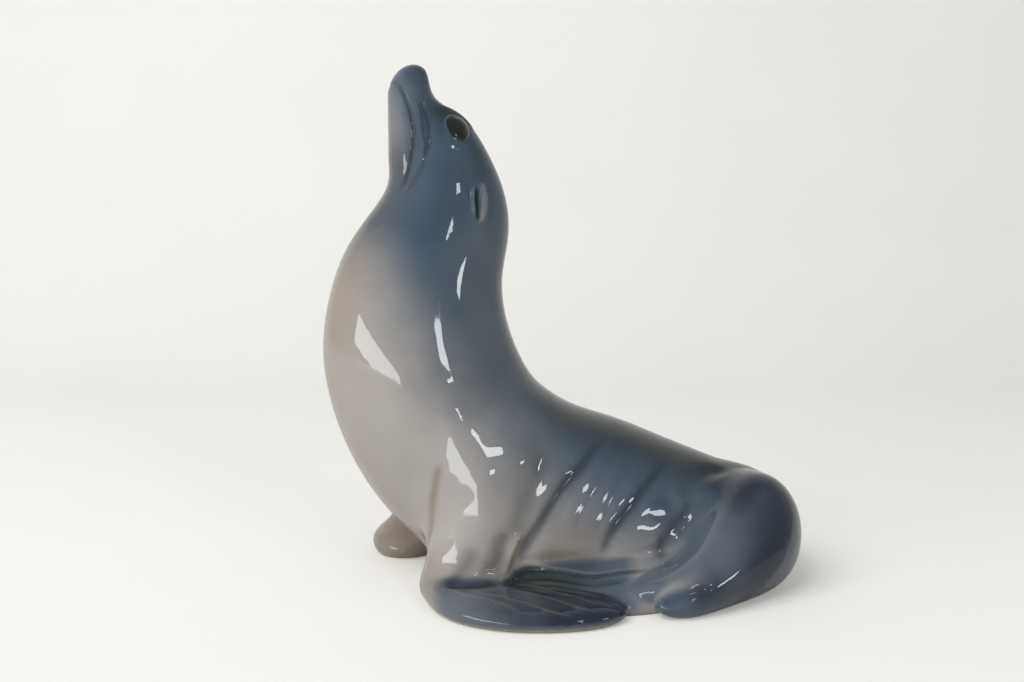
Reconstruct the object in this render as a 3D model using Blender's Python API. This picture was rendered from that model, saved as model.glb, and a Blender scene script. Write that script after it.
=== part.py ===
"""Glazed porcelain seal figurine, slip-cast in one piece: a seal that sits up with its nose in the air.

Frame: metres, +Z up, the figurine stands on Z = 0. It is seen from -Y, with the chest towards -X and the
rump towards +X. The origin is under the middle of the figurine's box.
"""

import bpy
import numpy as np

MM = 0.001

# Driving sizes, in millimetres
WALL = 7.0
FOOT_THICKNESS = 6.0
VENT_DIAMETER = 14.0
VENT_CENTRE = (25, 10)
VOXEL = 2.2
FINE_VOXEL = 1.7
TRIANGLES = 9000

# Each form is a loft. A row is one section: its centre, half its depth, half its width, and where the
# depth axis points, as a lean above the horizontal and a turn about the vertical, in degrees.
#        x     y     z    depth width lean turn
TORSO = (
    (-57, -8.5, 297.4, 0, 0, 4, 16),
    (-57.3, -8.5, 296, 5.2, 4.5, 4, 16),
    (-58.2, -8.8, 292.4, 9, 7.6, 6, 16),
    (-59.2, -9, 286, 11.7, 10, 8, 16),
    (-57.5, -8.6, 275, 14.4, 13, 12, 16),
    (-51.5, -6.9, 264, 21.2, 17, 17, 16),
    (-46, -5.3, 251, 27, 22, 15.6, 16),
    (-41.5, -4, 234.5, 32, 26, 10.5, 16),
    (-43, -4.5, 215.5, 40.6, 31, 5, 16),
    (-49.5, -6.3, 194, 48, 37, 3.7, 16),
    (-56, -8.2, 168.5, 51, 42, 5, 16),
    (-56, -8.2, 140.5, 55, 47, 4.7, 16),
    (-49, -6, 112.5, 59, 52, 8.3, 16),
    (-41, -3, 93.5, 60, 56, 18, 16),
    (-26, 1, 72.5, 61.5, 60, 29.5, 15),
    (-5, 6, 54, 62, 62, 41.8, 12),
    (22, 10, 42.5, 60, 62, 51, 8),
    (56, 11, 38, 50, 58, 59, 0),
    (87, 8, 33.5, 42, 52, 66, -8),
    (117, 1, 29.5, 35.5, 44, 72, -16),
    (141, -7, 27, 29, 34, 76, -22),
    (158, -14, 25, 18, 22, 78, -26),
    (167, -18, 24, 0, 0, 78, -26),
)
NEAR_FLANK = (
    (-38, -18, 18, 0, 0, 90, 0),
    (-17, -31, 20, 20, 21, 90, 0),
    (26, -30, 21, 23, 26, 90, 0),
    (62, -28, 22, 24, 27, 90, 0),
    (92, -18, 24, 24, 25, 90, 0),
    (118, -4, 24, 0, 0, 90, 0),
)
FAR_FLANK = (
    (-34, 20, 18, 0, 0, 90, 0),
    (-14, 32, 20, 19, 19, 90, 0),
    (22, 44, 22, 24, 24, 90, 0),
    (60, 43, 23, 25, 25, 90, 0),
    (95, 28, 24, 23, 23, 90, 0),
    (122, 10, 24, 0, 0, 90, 0),
)
NEAR_ARM = (
    (-8, -28, 82, 0, 0, 20, 0),
    (-16, -40, 66, 22, 16, 20, 0),
    (-20, -46, 50, 20.5, 16, 15, 0),
    (-24, -52, 34, 18.5, 13.5, 8, 0),
    (-30, -56, 18, 17.5, 12, 4, 0),
    (-33, -58, 6, 17, 12, 0, 0),
    (-34, -59, -4, 0, 0, 0, 0),
)
NEAR_BLADE = (
    (-37, -42, 6, 0, 0, 0, 25),
    (-35, -52, 6, 15, 6.5, 0, 28),
    (-30, -68, 5.5, 19, 7.5, 0, 38),
    (-19, -82, 5, 22, 7.5, 0, 52),
    (2, -91, 4.5, 24, 7, 0, 72),
    (27, -94, 4, 21, 6.5, 0, 84),
    (48, -94, 4, 14, 5.5, 0, 90),
    (60, -93, 3.5, 0, 0, 0, 92),
)
FAR_ARM = (
    (-34, 28, 80, 0, 0, 15, 32),
    (-43, 36, 64, 22, 16, 15, 32),
    (-48, 38, 48, 20, 15, 12, 32),
    (-54, 38, 33, 18, 14, 8, 32),
    (-62, 35, 18, 17, 16, 4, 32),
    (-66, 32, 6, 17, 18, 0, 32),
    (-67, 32, -4, 0, 0, 0, 32),
)
FAR_BLADE = (
    (-66, 6, 6, 0, 0, 0, 10),
    (-67, 18, 6, 16, 7, 0, 8),
    (-66, 38, 5.5, 20, 7.5, 0, -6),
    (-57, 56, 5, 22, 7.5, 0, -24),
    (-41, 72, 4.5, 24, 7, 0, -42),
    (-23, 86, 4, 21, 6.5, 0, -50),
    (-7, 97, 4, 14, 5.5, 0, -54),
    (2, 103, 3.5, 0, 0, 0, -56),
)
HIND_LIMB = (
    (106, 6, 32, 0, 0, 80, -60),
    (126, 2, 31, 28, 28, 80, -60),
    (143, -15, 29, 27, 24, 80, -40),
    (143, -38, 23, 23, 21, 78, -20),
    (128, -60, 16, 17, 15, 76, 0),
    (107, -78, 11, 12, 11.5, 78, 20),
    (90, -89, 8.5, 9, 9, 80, 30),
    (76, -95, 7.5, 0, 0, 80, 30),
)
HIND_BLADE = (
    (138, -22, 30, 0, 0, 50, 60),
    (124, -38, 22, 17, 14, 45, 65),
    (102, -57, 14, 20, 9, 34, 72),
    (80, -68, 10.5, 20.5, 7, 28, 78),
    (55, -72, 9, 19.5, 6, 27, 84),
    (30, -68, 8.5, 17.5, 5.5, 27, 92),
    (8, -62, 8.5, 13, 5, 27, 98),
    (-10, -56, 8, 0, 0, 27, 100),
)
# For each form: its rows, the fillet that joins it to the ones before it, and how square its sections are
# (2 is an ellipse, and more is fuller at the corners).
FORMS = (
    (TORSO, 0.0, 2.0),
    (NEAR_FLANK, 24.0, 2.0),
    (FAR_FLANK, 24.0, 2.0),
    (NEAR_ARM, 14.0, 2.0),
    (NEAR_BLADE, 9.0, 2.5),
    (FAR_ARM, 14.0, 2.0),
    (FAR_BLADE, 9.0, 2.5),
    (HIND_LIMB, 10.0, 2.0),
    (HIND_BLADE, 4.0, 2.5),
)

# The head is a mirror image of itself about an upright plane through this point, across the torso's turn.
MIDPLANE_POINT = (-41.5, -4, 230)
MIDPLANE_TURN = 16

# Carved lines: points along the line, its height (negative cuts in) and its width. Each is laid on the
# surface and fades out at both ends. The ones on the head are there on both sides.
HEAD_LINES = (
    # Mouth, from the tip of the jaw to its corner
    (((-70, -10, 283), (-66, -16, 287), (-62, -19, 282), (-58, -21, 275), (-56, -24, 262), (-56, -27, 247),
      (-59, -27, 236), (-64, -28, 222)), -1.3, 1.3),
    # Upper lip that hangs over it
    (((-58, -20, 280), (-53, -23, 270), (-51, -25, 258), (-50, -28, 246), (-53, -29, 235), (-59, -29, 226)), 1.0, 2.2),
    # Crease behind the whisker pad
    (((-48, -15, 281), (-47, -19, 273), (-46, -24, 262), (-47, -28, 250), (-50, -30, 240)), -0.8, 1.8),
    # Lids around the eye
    (((-38, -18, 266), (-35, -15, 269), (-30, -11, 267.5), (-26, -10, 263), (-25, -14, 257), (-28, -20, 252.5),
      (-33, -22, 254.5), (-37, -21.5, 260), (-38, -18, 266)), 0.7, 1.1),
    # Ear slit and the rim behind it
    (((-20, -25, 229), (-21, -27, 222), (-21, -29, 215), (-19, -30, 207)), -1.8, 1.7),
    (((-17.5, -22, 231), (-14.5, -22, 222), (-14.5, -25, 214), (-17, -28, 206)), 2.6, 2.0),
)
# Eyeball of the near side: its centre on the skin, how far it stands out and its radius
EYE = ((-31.5, -18, 260), 1.5, 5.4)
BODY_LINES = (
    # Crease between the chest and the near arm, and the forearm's bulge
    (((-38, -57, 74), (-41, -58, 66), (-40, -58, 57), (-42, -55, 46), (-44, -50, 34)), -1.6, 3.0),
    (((-14, -62, 34), (-15, -63, 27), (-19, -63, 20)), 1.3, 5.0),
    # Folds of the near flank, from the arm to the rump, with the swell of skin between them
    (((14, -44, 86), (12, -51, 72), (10, -54, 58), (5, -55, 46), (-2, -56, 34), (-10, -54, 20)), -2.4, 3.6),
    (((52, -22, 86), (43, -37, 74), (31, -48, 63), (20, -54, 48), (11, -55, 33), (3, -52, 19)), -2.4, 3.6),
    (((60, -40, 64), (47, -47, 56), (38, -52, 46), (30, -55, 33), (24, -56, 24)), -1.2, 4.5),
    (((88, -26, 66), (75, -42, 56), (61, -51, 43), (53, -54, 31), (46, -52, 16)), -2.2, 3.6),
    (((112, -26, 60), (97, -42, 48), (90, -48, 38), (85, -51, 27), (80, -56, 20)), -2.2, 4.0),
    (((32, -38, 77), (24, -48, 62), (15, -54, 46), (6, -56, 32), (0, -56, 22)), 1.3, 5.0),
    (((58, -34, 70), (46, -45, 61), (34, -52, 47), (24, -55, 33)), 1.0, 5.5),
    (((76, -33, 64), (61, -46, 56), (50, -52, 44), (42, -55, 30)), 1.2, 5.5),
    (((98, -32, 58), (85, -43, 50), (76, -49, 40), (70, -51, 30)), 1.2, 6.0),
    # The same folds on the far flank, fewer and softer
    (((12, 60, 74), (8, 70, 58), (2, 73, 42), (-6, 72, 26)), -1.8, 4.0),
    (((42, 48, 76), (32, 64, 62), (22, 71, 46), (14, 72, 28)), -1.8, 4.0),
    (((82, 44, 62), (68, 60, 50), (58, 66, 36), (52, 66, 22)), -1.6, 4.0),
    (((28, 56, 76), (20, 68, 58), (12, 73, 42), (5, 73, 28)), 1.0, 5.5),
    (((60, 50, 68), (50, 63, 55), (40, 69, 40)), 1.0, 6.0),
    # Shallow valley down the side of the neck and the back
    (((-14, -20, 222), (-18, -31, 200), (-22, -37, 172), (-21, -41, 147), (-17, -44, 125), (-10, -48, 103),
      (-3, -52, 84)), -1.5, 7.0),
    (((-14, 26, 205), (-20, 34, 172), (-18, 42, 145), (-12, 48, 120), (-2, 54, 98)), -1.5, 7.0),
    # Fingers of the front and hind flippers
    (((-30, -78, 13), (-12, -92, 12), (4, -108, 10), (20, -114, 6)), 0.8, 2.5),
    (((-22, -72, 13), (-4, -84, 12), (22, -100, 10), (44, -106, 8)), 0.8, 2.5),
    (((-16, -68, 13), (8, -80, 12), (34, -90, 10), (54, -97, 7)), 0.8, 2.5),
    (((-60, 52, 13), (-46, 72, 12), (-34, 92, 10), (-24, 100, 8)), 0.8, 2.5),
    (((-54, 48, 13), (-36, 66, 12), (-18, 84, 10), (-4, 98, 7)), 0.8, 2.5),
    (((0, -64, 10), (21, -66, 15), (45, -68, 17), (70, -68, 18)), -0.7, 1.6),
    (((4, -70, 10), (26, -72, 13), (48, -75, 14), (70, -76, 15)), -0.7, 1.6),
    (((10, -76, 9), (32, -79, 11), (55, -81, 12), (74, -82, 12)), -0.7, 1.6),
)


def natural_spline(knots, values, at):
    """The natural cubic spline through values at knots, one curve for each column, read at each of at."""
    gap = np.diff(knots)
    count = len(knots)
    system = np.eye(count)
    right = np.zeros((count, values.shape[1]))
    slope = np.diff(values, axis=0) / gap[:, None]
    for i in range(1, count - 1):
        system[i, i - 1 : i + 2] = gap[i - 1], 2 * (gap[i - 1] + gap[i]), gap[i]
        right[i] = 6 * (slope[i] - slope[i - 1])
    bend = np.linalg.solve(system, right)
    k = np.clip(np.searchsorted(knots, at, side="right") - 1, 0, count - 2)
    h, t = gap[k][:, None], (at - knots[k])[:, None]
    return (
        values[k]
        + t * (slope[k] - h * (2 * bend[k] + bend[k + 1]) / 6)
        + t**2 * bend[k] / 2
        + t**3 * (bend[k + 1] - bend[k]) / (6 * h)
    )


def unit(vectors):
    return vectors / np.linalg.norm(vectors, axis=-1, keepdims=True)


def sections(rows, count):
    """Centre, depth axis, width axis, travel, half sizes and their growth for count sections along a form.

    The squares of the half sizes are what the spline runs through, so a form closes at a size of zero in a
    round end. Sections crowd towards both ends, where that rounding happens.
    """
    table = np.array(rows, float)
    centres, size, angle = table[:, :3], table[:, 3:5], np.radians(table[:, 5:7])
    knots = np.concatenate([[0], np.cumsum(np.linalg.norm(np.diff(centres, axis=0), axis=1))])
    share = np.linspace(0, 1, count)
    eased = share - 0.92 * np.sin(2 * np.pi * share) / (2 * np.pi)
    at = eased * knots[-1]
    centre = natural_spline(knots, centres, at)
    half = np.sqrt(np.maximum(natural_spline(knots, size**2, at), 0))
    lean, turn = natural_spline(knots, angle, at).T
    depth_axis = np.stack([np.cos(lean) * np.cos(turn), np.cos(lean) * np.sin(turn), np.sin(lean)], 1)
    travel = unit(np.gradient(centre, at, axis=0))
    width_axis = unit(np.cross(travel, depth_axis))
    growth = np.gradient(half**2, at, axis=0) / (2 * np.maximum(half, 0.05) ** 2)
    return centre, depth_axis, width_axis, unit(np.cross(depth_axis, width_axis)), half, growth


def skin(rows, along, around):
    """A closed form as points and quads: rings of an ellipse, with a pole at each end."""
    centre, depth_axis, width_axis, _, half, _ = sections(rows, along)
    angle = np.linspace(0, 2 * np.pi, around, endpoint=False)
    ring = (
        centre[1:-1, None]
        + (half[1:-1, 0, None] * np.cos(angle))[..., None] * depth_axis[1:-1, None]
        + (half[1:-1, 1, None] * np.sin(angle))[..., None] * width_axis[1:-1, None]
    )
    points = np.concatenate([ring.reshape(-1, 3), centre[[0, -1]]])
    start, end = len(points) - 2, len(points) - 1
    faces = []
    for i in range(along - 3):
        for j in range(around):
            k = (j + 1) % around
            faces.append((i * around + j, i * around + k, (i + 1) * around + k, (i + 1) * around + j))
    last = (along - 3) * around
    for j in range(around):
        k = (j + 1) % around
        faces.append((start, k, j))
        faces.append((end, last + j, last + k))
    return points, faces


def distance(points, rows, square=2.0, count=160):
    """About how far each point lies outside a form, negative inside it."""
    centre, depth_axis, width_axis, travel, half, growth = sections(rows, count)
    half = np.maximum(half, 0.05)
    result = np.empty(len(points))
    for first in range(0, len(points), 20000):
        p = points[first : first + 20000]
        ahead = p @ travel.T - np.einsum("ij,ij->i", centre, travel)
        crossing = (ahead[:, :-1] >= 0) & (ahead[:, 1:] < 0)
        away = ((p[:, None] - centre[None, :-1]) ** 2).sum(2)
        away[~crossing] = np.inf
        k = away.argmin(1)
        n = np.arange(len(p))
        found = crossing.any(1)
        share = np.where(found, ahead[n, k] / np.where(found, ahead[n, k] - ahead[n, k + 1], 1), 0.0)
        beyond = np.zeros(len(p))
        past_end = ~found & (np.abs(ahead[:, -1]) < np.abs(ahead[:, 0]))
        k = np.where(past_end, count - 2, np.where(found, k, 0))
        share = np.where(past_end, 1.0, share)
        beyond = np.where(found, 0, np.where(past_end, ahead[:, -1], -ahead[:, 0]))
        s = share[:, None]
        c = centre[k] * (1 - s) + centre[k + 1] * s
        a = unit(depth_axis[k] * (1 - s) + depth_axis[k + 1] * s)
        w = unit(width_axis[k] * (1 - s) + width_axis[k + 1] * s)
        size = half[k] * (1 - s) + half[k + 1] * s
        grows = growth[k] * (1 - s) + growth[k + 1] * s
        u = np.einsum("ij,ij->i", p - c, a) / size[:, 0]
        v = np.einsum("ij,ij->i", p - c, w) / size[:, 1]
        radius = np.maximum((np.abs(u) ** square + np.abs(v) ** square) ** (1 / square), 1e-6)
        du = (np.abs(u) / radius) ** (square - 1) / size[:, 0]
        dv = (np.abs(v) / radius) ** (square - 1) / size[:, 1]
        dt = (np.abs(u) ** square * grows[:, 0] + np.abs(v) ** square * grows[:, 1]) / radius ** (square - 1)
        dt *= np.clip(1 - 2 * np.abs(radius - 1), 0, 1)
        flat = (radius - 1) / np.maximum(np.sqrt(du**2 + dv**2 + dt**2), 1e-6)
        result[first : first + len(p)] = np.where(beyond > 0, np.hypot(np.maximum(flat, 0), beyond), flat)
    return result


def fused(points):
    """The forms' distances joined by a smooth minimum, which fills each joint with a fillet."""
    result = None
    for rows, fillet, square in FORMS:
        d = distance(points, rows, square)
        if result is None:
            result = d
            continue
        near = np.maximum(fillet - np.abs(result - d), 0) / fillet
        result = np.minimum(result, d) - near**2 * fillet / 4
    return result


def laid(guide):
    """The guide's points moved onto the fused surface, joined by a smooth curve of 28 points."""
    points = np.array(guide, float)
    nudge = np.eye(3) * 0.5
    for _ in range(4):
        around = (points[:, None] + np.concatenate([nudge, -nudge])[None]).reshape(-1, 3)
        level = fused(around).reshape(-1, 6)
        slope = level[:, :3] - level[:, 3:]
        slope /= np.maximum((slope**2).sum(1, keepdims=True), 1e-6)
        points = points - fused(points)[:, None] * slope
    if len(points) == 1:
        return points
    knots = np.concatenate([[0], np.cumsum(np.linalg.norm(np.diff(points, axis=0), axis=1))])
    return natural_spline(knots, points, np.linspace(0, knots[-1], 28))


def mirrored(guide):
    """The guide's points on the other side of the head."""
    turn = np.radians(MIDPLANE_TURN)
    across = np.array([-np.sin(turn), np.cos(turn), 0])
    points = np.array(guide, float)
    return points - 2 * ((points - MIDPLANE_POINT) @ across)[:, None] * across


def carving(points):
    """Height of the carving at each point.

    A line adds height * exp(-(distance / width)**2), faded at its ends. An eye adds a dome of
    height * sqrt(1 - (distance / radius)**2).
    """
    lines = [(laid(guide), height, width) for guide, height, width in HEAD_LINES + BODY_LINES]
    lines += [(laid(mirrored(guide)), height, width) for guide, height, width in HEAD_LINES]
    total = np.zeros(len(points))
    for line, height, width in lines:
        reach = 3 * width
        near = np.nonzero(((points > line.min(0) - reach) & (points < line.max(0) + reach)).all(1))[0]
        start, step = line[:-1], np.diff(line, axis=0)
        offset = points[near, None] - start
        share = np.clip((offset * step).sum(2) / (step**2).sum(1), 0, 1)
        away = np.linalg.norm(offset - share[..., None] * step, axis=2)
        k = away.argmin(1)
        n = np.arange(len(near))
        along = (k + share[n, k]) / len(step)
        closed = np.linalg.norm(line[0] - line[-1]) < 0.1
        ends = np.ones(len(near)) if closed else np.clip(np.minimum(along, 1 - along) / 0.2, 0, 1)
        fade = ends**2 * (3 - 2 * ends)
        total[near] += height * fade * np.exp(-((away[n, k] / width) ** 2))
    centre, height, radius = EYE
    for guide in ([centre], mirrored([centre])):
        away = np.linalg.norm(points - laid(guide)[0], axis=1)
        total += height * np.sqrt(np.maximum(1 - (away / radius) ** 2, 0))
    return total


def mesh_object(name, points, faces):
    mesh = bpy.data.meshes.new(name)
    mesh.from_pydata((points * MM).tolist(), [], faces)
    mesh.update()
    obj = bpy.data.objects.new(name, mesh)
    bpy.context.scene.collection.objects.link(obj)
    return obj


def evaluated(obj):
    graph = bpy.context.evaluated_depsgraph_get()
    graph.update()
    return bpy.data.meshes.new_from_object(obj.evaluated_get(graph))


def coordinates(mesh, field="co"):
    values = np.empty(len(mesh.vertices) * 3, np.float32)
    mesh.vertices.foreach_get(field, values)
    return values.reshape(-1, 3).astype(float)


def settle(mesh, rounds):
    """Moves each vertex along its normal until it lies on the fused surface."""
    for _ in range(rounds):
        shift(mesh, -np.clip(fused(coordinates(mesh) / MM), -3, 3))


def shift(mesh, amount):
    """Moves each vertex along its normal by its amount in millimetres."""
    mesh.update()
    moved = coordinates(mesh) + amount[:, None] * coordinates(mesh, "normal") * MM
    mesh.vertices.foreach_set("co", moved.astype(np.float32).ravel())
    mesh.update()


def modify(obj, kind, **settings):
    """Applies one modifier and returns the object with the new mesh."""
    modifier = obj.modifiers.new(kind.title(), kind)
    for name, value in settings.items():
        setattr(modifier, name, value)
    mesh = evaluated(obj)
    obj.modifiers.clear()
    obj.data = mesh
    return obj


def cut(obj, cutter):
    modify(obj, "BOOLEAN", operation="DIFFERENCE", object=cutter, solver="EXACT")
    bpy.data.objects.remove(cutter)


def box(low, high):
    """A box between two corners."""
    corners = np.array([[x, y, z] for x in (0, 1) for y in (0, 1) for z in (0, 1)], float)
    faces = [(0, 1, 3, 2), (4, 6, 7, 5), (0, 4, 5, 1), (2, 3, 7, 6), (0, 2, 6, 4), (1, 5, 7, 3)]
    return mesh_object("box", np.array(low) + corners * (np.array(high) - low), faces)


def cylinder(x, y, radius, bottom, top, around=32):
    """An upright cylinder."""
    angle = np.linspace(0, 2 * np.pi, around, endpoint=False)
    ring = np.stack([x + radius * np.cos(angle), y + radius * np.sin(angle)], 1)
    points = np.concatenate([np.insert(ring, 2, bottom, axis=1), np.insert(ring, 2, top, axis=1)])
    sides = [(i, (i + 1) % around, (i + 1) % around + around, i + around) for i in range(around)]
    caps = [tuple(range(around - 1, -1, -1)), tuple(range(around, 2 * around))]
    return mesh_object("cylinder", points, sides + caps)


def make_body():
    """The figurine's outer skin: the forms joined into one, carved, and cut off flat at the foot."""
    points, faces, base = [], [], 0
    for rows, _, _ in FORMS:
        p, f = skin(rows, 60, 40)
        points.append(p)
        faces += [tuple(i + base for i in face) for face in f]
        base += len(p)
    body = mesh_object("seal", np.concatenate(points), faces)
    for rounds in (3, 2):
        modify(body, "SMOOTH", factor=0.5, iterations=2)
        modify(body, "REMESH", mode="VOXEL", voxel_size=VOXEL * MM)
        settle(body.data, rounds)
    shift(body.data, carving(coordinates(body.data) / MM))
    modify(body, "REMESH", mode="VOXEL", voxel_size=FINE_VOXEL * MM)
    modify(body, "TRIANGULATE")
    modify(body, "DECIMATE", ratio=TRIANGLES / len(body.data.polygons))
    cut(body, box((-300, -300, -60), (300, 300, 0)))
    return body


def hollow(body):
    """Takes out the inside of the torso, a wall's thickness in from the skin, and drills the vent hole."""
    rows = [(*row[:3], max(row[3] - WALL, 0), max(row[4] - WALL, 0), *row[5:]) for row in TORSO[3:]]
    rows[0] = (*rows[0][:3], 0, 0, *rows[0][5:])
    cavity = mesh_object("cavity", *skin(rows, 34, 20))
    cut(cavity, box((-300, -300, -60), (300, 300, FOOT_THICKNESS)))
    cut(body, cavity)
    cut(body, cylinder(VENT_CENTRE[0], VENT_CENTRE[1], VENT_DIAMETER / 2, -20, FOOT_THICKNESS + 10))


def main():
    for obj in list(bpy.data.objects):
        bpy.data.objects.remove(obj)
    body = make_body()
    hollow(body)
    corners = coordinates(body.data)
    low, high = corners.min(0), corners.max(0)
    middle = np.array([(low[0] + high[0]) / 2, (low[1] + high[1]) / 2, low[2]])
    body.data.vertices.foreach_set("co", (corners - middle).astype(np.float32).ravel())
    body.data.update()
    print("moved by", (middle / MM).round(2), "size", ((high - low) / MM).round(1), len(body.data.polygons))
    body.data.shade_smooth()
    body.data.set_sharp_from_angle(angle=np.radians(50))
    porcelain = bpy.data.materials.new("glazed_porcelain")
    porcelain.use_nodes = True
    shader = porcelain.node_tree.nodes["Principled BSDF"]
    shader.inputs["Base Color"].default_value = (0.22, 0.25, 0.28, 1)
    shader.inputs["Roughness"].default_value = 0.12
    shader.inputs["Metallic"].default_value = 0.0
    body.data.materials.clear()
    body.data.materials.append(porcelain)


main()
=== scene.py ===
# %% [markdown]
# # A glazed porcelain seal
# The real figurine is one slip-cast piece of porcelain, painted under the glaze with an airbrush. The packed
# frame holds it as one plain solid. This lesson makes its fine skin and its painted glaze around that solid,
# then lights it. The frame is loaded first, because everything made later is measured against it.

import bmesh
import bpy
import numpy as np
from mathutils import Matrix, Quaternion, Vector


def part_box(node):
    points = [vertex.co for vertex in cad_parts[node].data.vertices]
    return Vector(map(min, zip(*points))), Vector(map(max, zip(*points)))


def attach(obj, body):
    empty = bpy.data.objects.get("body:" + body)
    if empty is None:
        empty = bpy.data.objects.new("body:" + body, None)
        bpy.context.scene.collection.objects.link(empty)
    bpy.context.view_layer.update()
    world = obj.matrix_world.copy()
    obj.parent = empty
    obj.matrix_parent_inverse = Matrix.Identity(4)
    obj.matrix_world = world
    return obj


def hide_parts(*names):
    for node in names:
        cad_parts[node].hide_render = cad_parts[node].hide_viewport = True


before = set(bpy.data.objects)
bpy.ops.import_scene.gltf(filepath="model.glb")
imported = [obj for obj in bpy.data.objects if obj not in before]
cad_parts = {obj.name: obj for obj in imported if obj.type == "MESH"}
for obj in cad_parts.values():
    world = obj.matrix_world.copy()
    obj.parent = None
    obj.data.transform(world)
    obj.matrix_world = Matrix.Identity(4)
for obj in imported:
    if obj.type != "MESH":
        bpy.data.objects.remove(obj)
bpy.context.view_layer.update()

MM = 0.001

# %% [markdown]
# ## The forms under the skin
# A modeller in clay builds an animal from a few simple volumes and then smooths them together. Each volume
# here is a loft: a table of sections, where a row gives the centre, half the depth, half the width, and the
# lean and turn of the depth axis in degrees. All of it is in millimetres, in the maker's own frame.

# %% The seal's body as sections, from the nose to the rump
TORSO = (
    (-57, -8.5, 297.4, 0, 0, 4, 16),
    (-57.3, -8.5, 296, 5.2, 4.5, 4, 16),
    (-58.2, -8.8, 292.4, 9, 7.6, 6, 16),
    (-59.2, -9, 286, 11.7, 10, 8, 16),
    (-57.5, -8.6, 275, 14.4, 13, 12, 16),
    (-51.5, -6.9, 264, 21.2, 17, 17, 16),
    (-46, -5.3, 251, 27, 22, 15.6, 16),
    (-41.5, -4, 234.5, 32, 26, 10.5, 16),
    (-43, -4.5, 215.5, 40.6, 31, 5, 16),
    (-49.5, -6.3, 194, 48, 37, 3.7, 16),
    (-56, -8.2, 168.5, 51, 42, 5, 16),
    (-56, -8.2, 140.5, 55, 47, 4.7, 16),
    (-49, -6, 112.5, 59, 52, 8.3, 16),
    (-41, -3, 93.5, 60, 56, 18, 16),
    (-26, 1, 72.5, 61.5, 60, 29.5, 15),
    (-5, 6, 54, 62, 62, 41.8, 12),
    (22, 10, 42.5, 60, 62, 51, 8),
    (56, 11, 38, 50, 58, 59, 0),
    (87, 8, 33.5, 42, 52, 66, -8),
    (117, 1, 29.5, 35.5, 44, 72, -16),
    (141, -7, 27, 29, 34, 76, -22),
    (158, -14, 25, 18, 22, 78, -26),
    (167, -18, 24, 0, 0, 78, -26),
)
NEAR_FLANK = (
    (-38, -18, 18, 0, 0, 90, 0),
    (-17, -31, 20, 20, 21, 90, 0),
    (26, -30, 21, 23, 26, 90, 0),
    (62, -28, 22, 24, 27, 90, 0),
    (92, -18, 24, 24, 25, 90, 0),
    (118, -4, 24, 0, 0, 90, 0),
)
FAR_FLANK = (
    (-34, 20, 18, 0, 0, 90, 0),
    (-14, 32, 20, 19, 19, 90, 0),
    (22, 44, 22, 24, 24, 90, 0),
    (60, 43, 23, 25, 25, 90, 0),
    (95, 28, 24, 23, 23, 90, 0),
    (122, 10, 24, 0, 0, 90, 0),
)

# %% The flippers as sections
NEAR_ARM = (
    (-8, -28, 82, 0, 0, 20, -20),
    (-16, -40, 66, 22, 16, 20, -20),
    (-20, -46, 50, 20.5, 16, 15, -22),
    (-24, -52, 34, 18.5, 13.5, 8, -22),
    (-30, -56, 18, 17.5, 12, 4, -15),
    (-33, -58, 6, 17, 12, 0, 0),
    (-34, -59, -4, 0, 0, 0, 0),
)
NEAR_BLADE = (
    (-37, -42, 6, 0, 0, 0, 25),
    (-35, -52, 6, 15, 6.5, 0, 28),
    (-30, -68, 5.5, 19, 7.5, 0, 38),
    (-19, -82, 5, 22, 7.5, 0, 52),
    (2, -91, 4.5, 24, 7, 0, 72),
    (27, -94, 4, 21, 6.5, 0, 84),
    (48, -94, 4, 14, 5.5, 0, 90),
    (60, -93, 3.5, 0, 0, 0, 92),
)
FAR_ARM = (
    (-34, 28, 80, 0, 0, 15, 32),
    (-43, 36, 64, 22, 16, 15, 32),
    (-48, 38, 48, 20, 15, 12, 32),
    (-54, 38, 33, 18, 14, 8, 32),
    (-62, 35, 18, 17, 16, 4, 32),
    (-66, 32, 6, 17, 18, 0, 32),
    (-67, 32, -4, 0, 0, 0, 32),
)
FAR_BLADE = (
    (-66, 6, 6, 0, 0, 0, 10),
    (-67, 18, 6, 16, 7, 0, 8),
    (-66, 38, 5.5, 20, 7.5, 0, -6),
    (-57, 56, 5, 22, 7.5, 0, -24),
    (-41, 72, 4.5, 24, 7, 0, -42),
    (-23, 86, 4, 21, 6.5, 0, -50),
    (-7, 97, 4, 14, 5.5, 0, -54),
    (2, 103, 3.5, 0, 0, 0, -56),
)
HIND_LIMB = (
    (106, 6, 32, 0, 0, 80, -60),
    (126, 2, 31, 28, 28, 80, -60),
    (143, -15, 29, 27, 24, 80, -40),
    (143, -38, 23, 23, 21, 78, -20),
    (128, -60, 16, 17, 15, 76, 0),
    (107, -78, 11, 12, 11.5, 78, 20),
    (90, -89, 8.5, 9, 9, 80, 30),
    (76, -95, 7.5, 0, 0, 80, 30),
)
THIGH_FORM = (
    (146, 0, 38, 0, 0, 78, -50),
    (141, -26, 38, 25, 22, 78, -35),
    (130, -47, 33, 25, 21, 76, -15),
    (114, -61, 25, 20, 19, 72, 5),
    (96, -70, 17.5, 15, 18, 66, 20),
    (78, -74, 12, 10, 16, 62, 28),
    (60, -76, 9, 0, 0, 60, 30),
)
HIND_BLADE = (
    (138, -22, 30, 0, 0, 50, 60),
    (124, -38, 22, 17, 14, 45, 65),
    (102, -57, 14, 20, 9, 34, 72),
    (80, -68, 10.5, 20.5, 7, 28, 78),
    (55, -72, 9, 19.5, 6, 27, 84),
    (30, -68, 8.5, 17.5, 5.5, 27, 92),
    (8, -62, 8.5, 13, 5, 27, 98),
    (-10, -56, 8, 0, 0, 27, 100),
)
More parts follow.
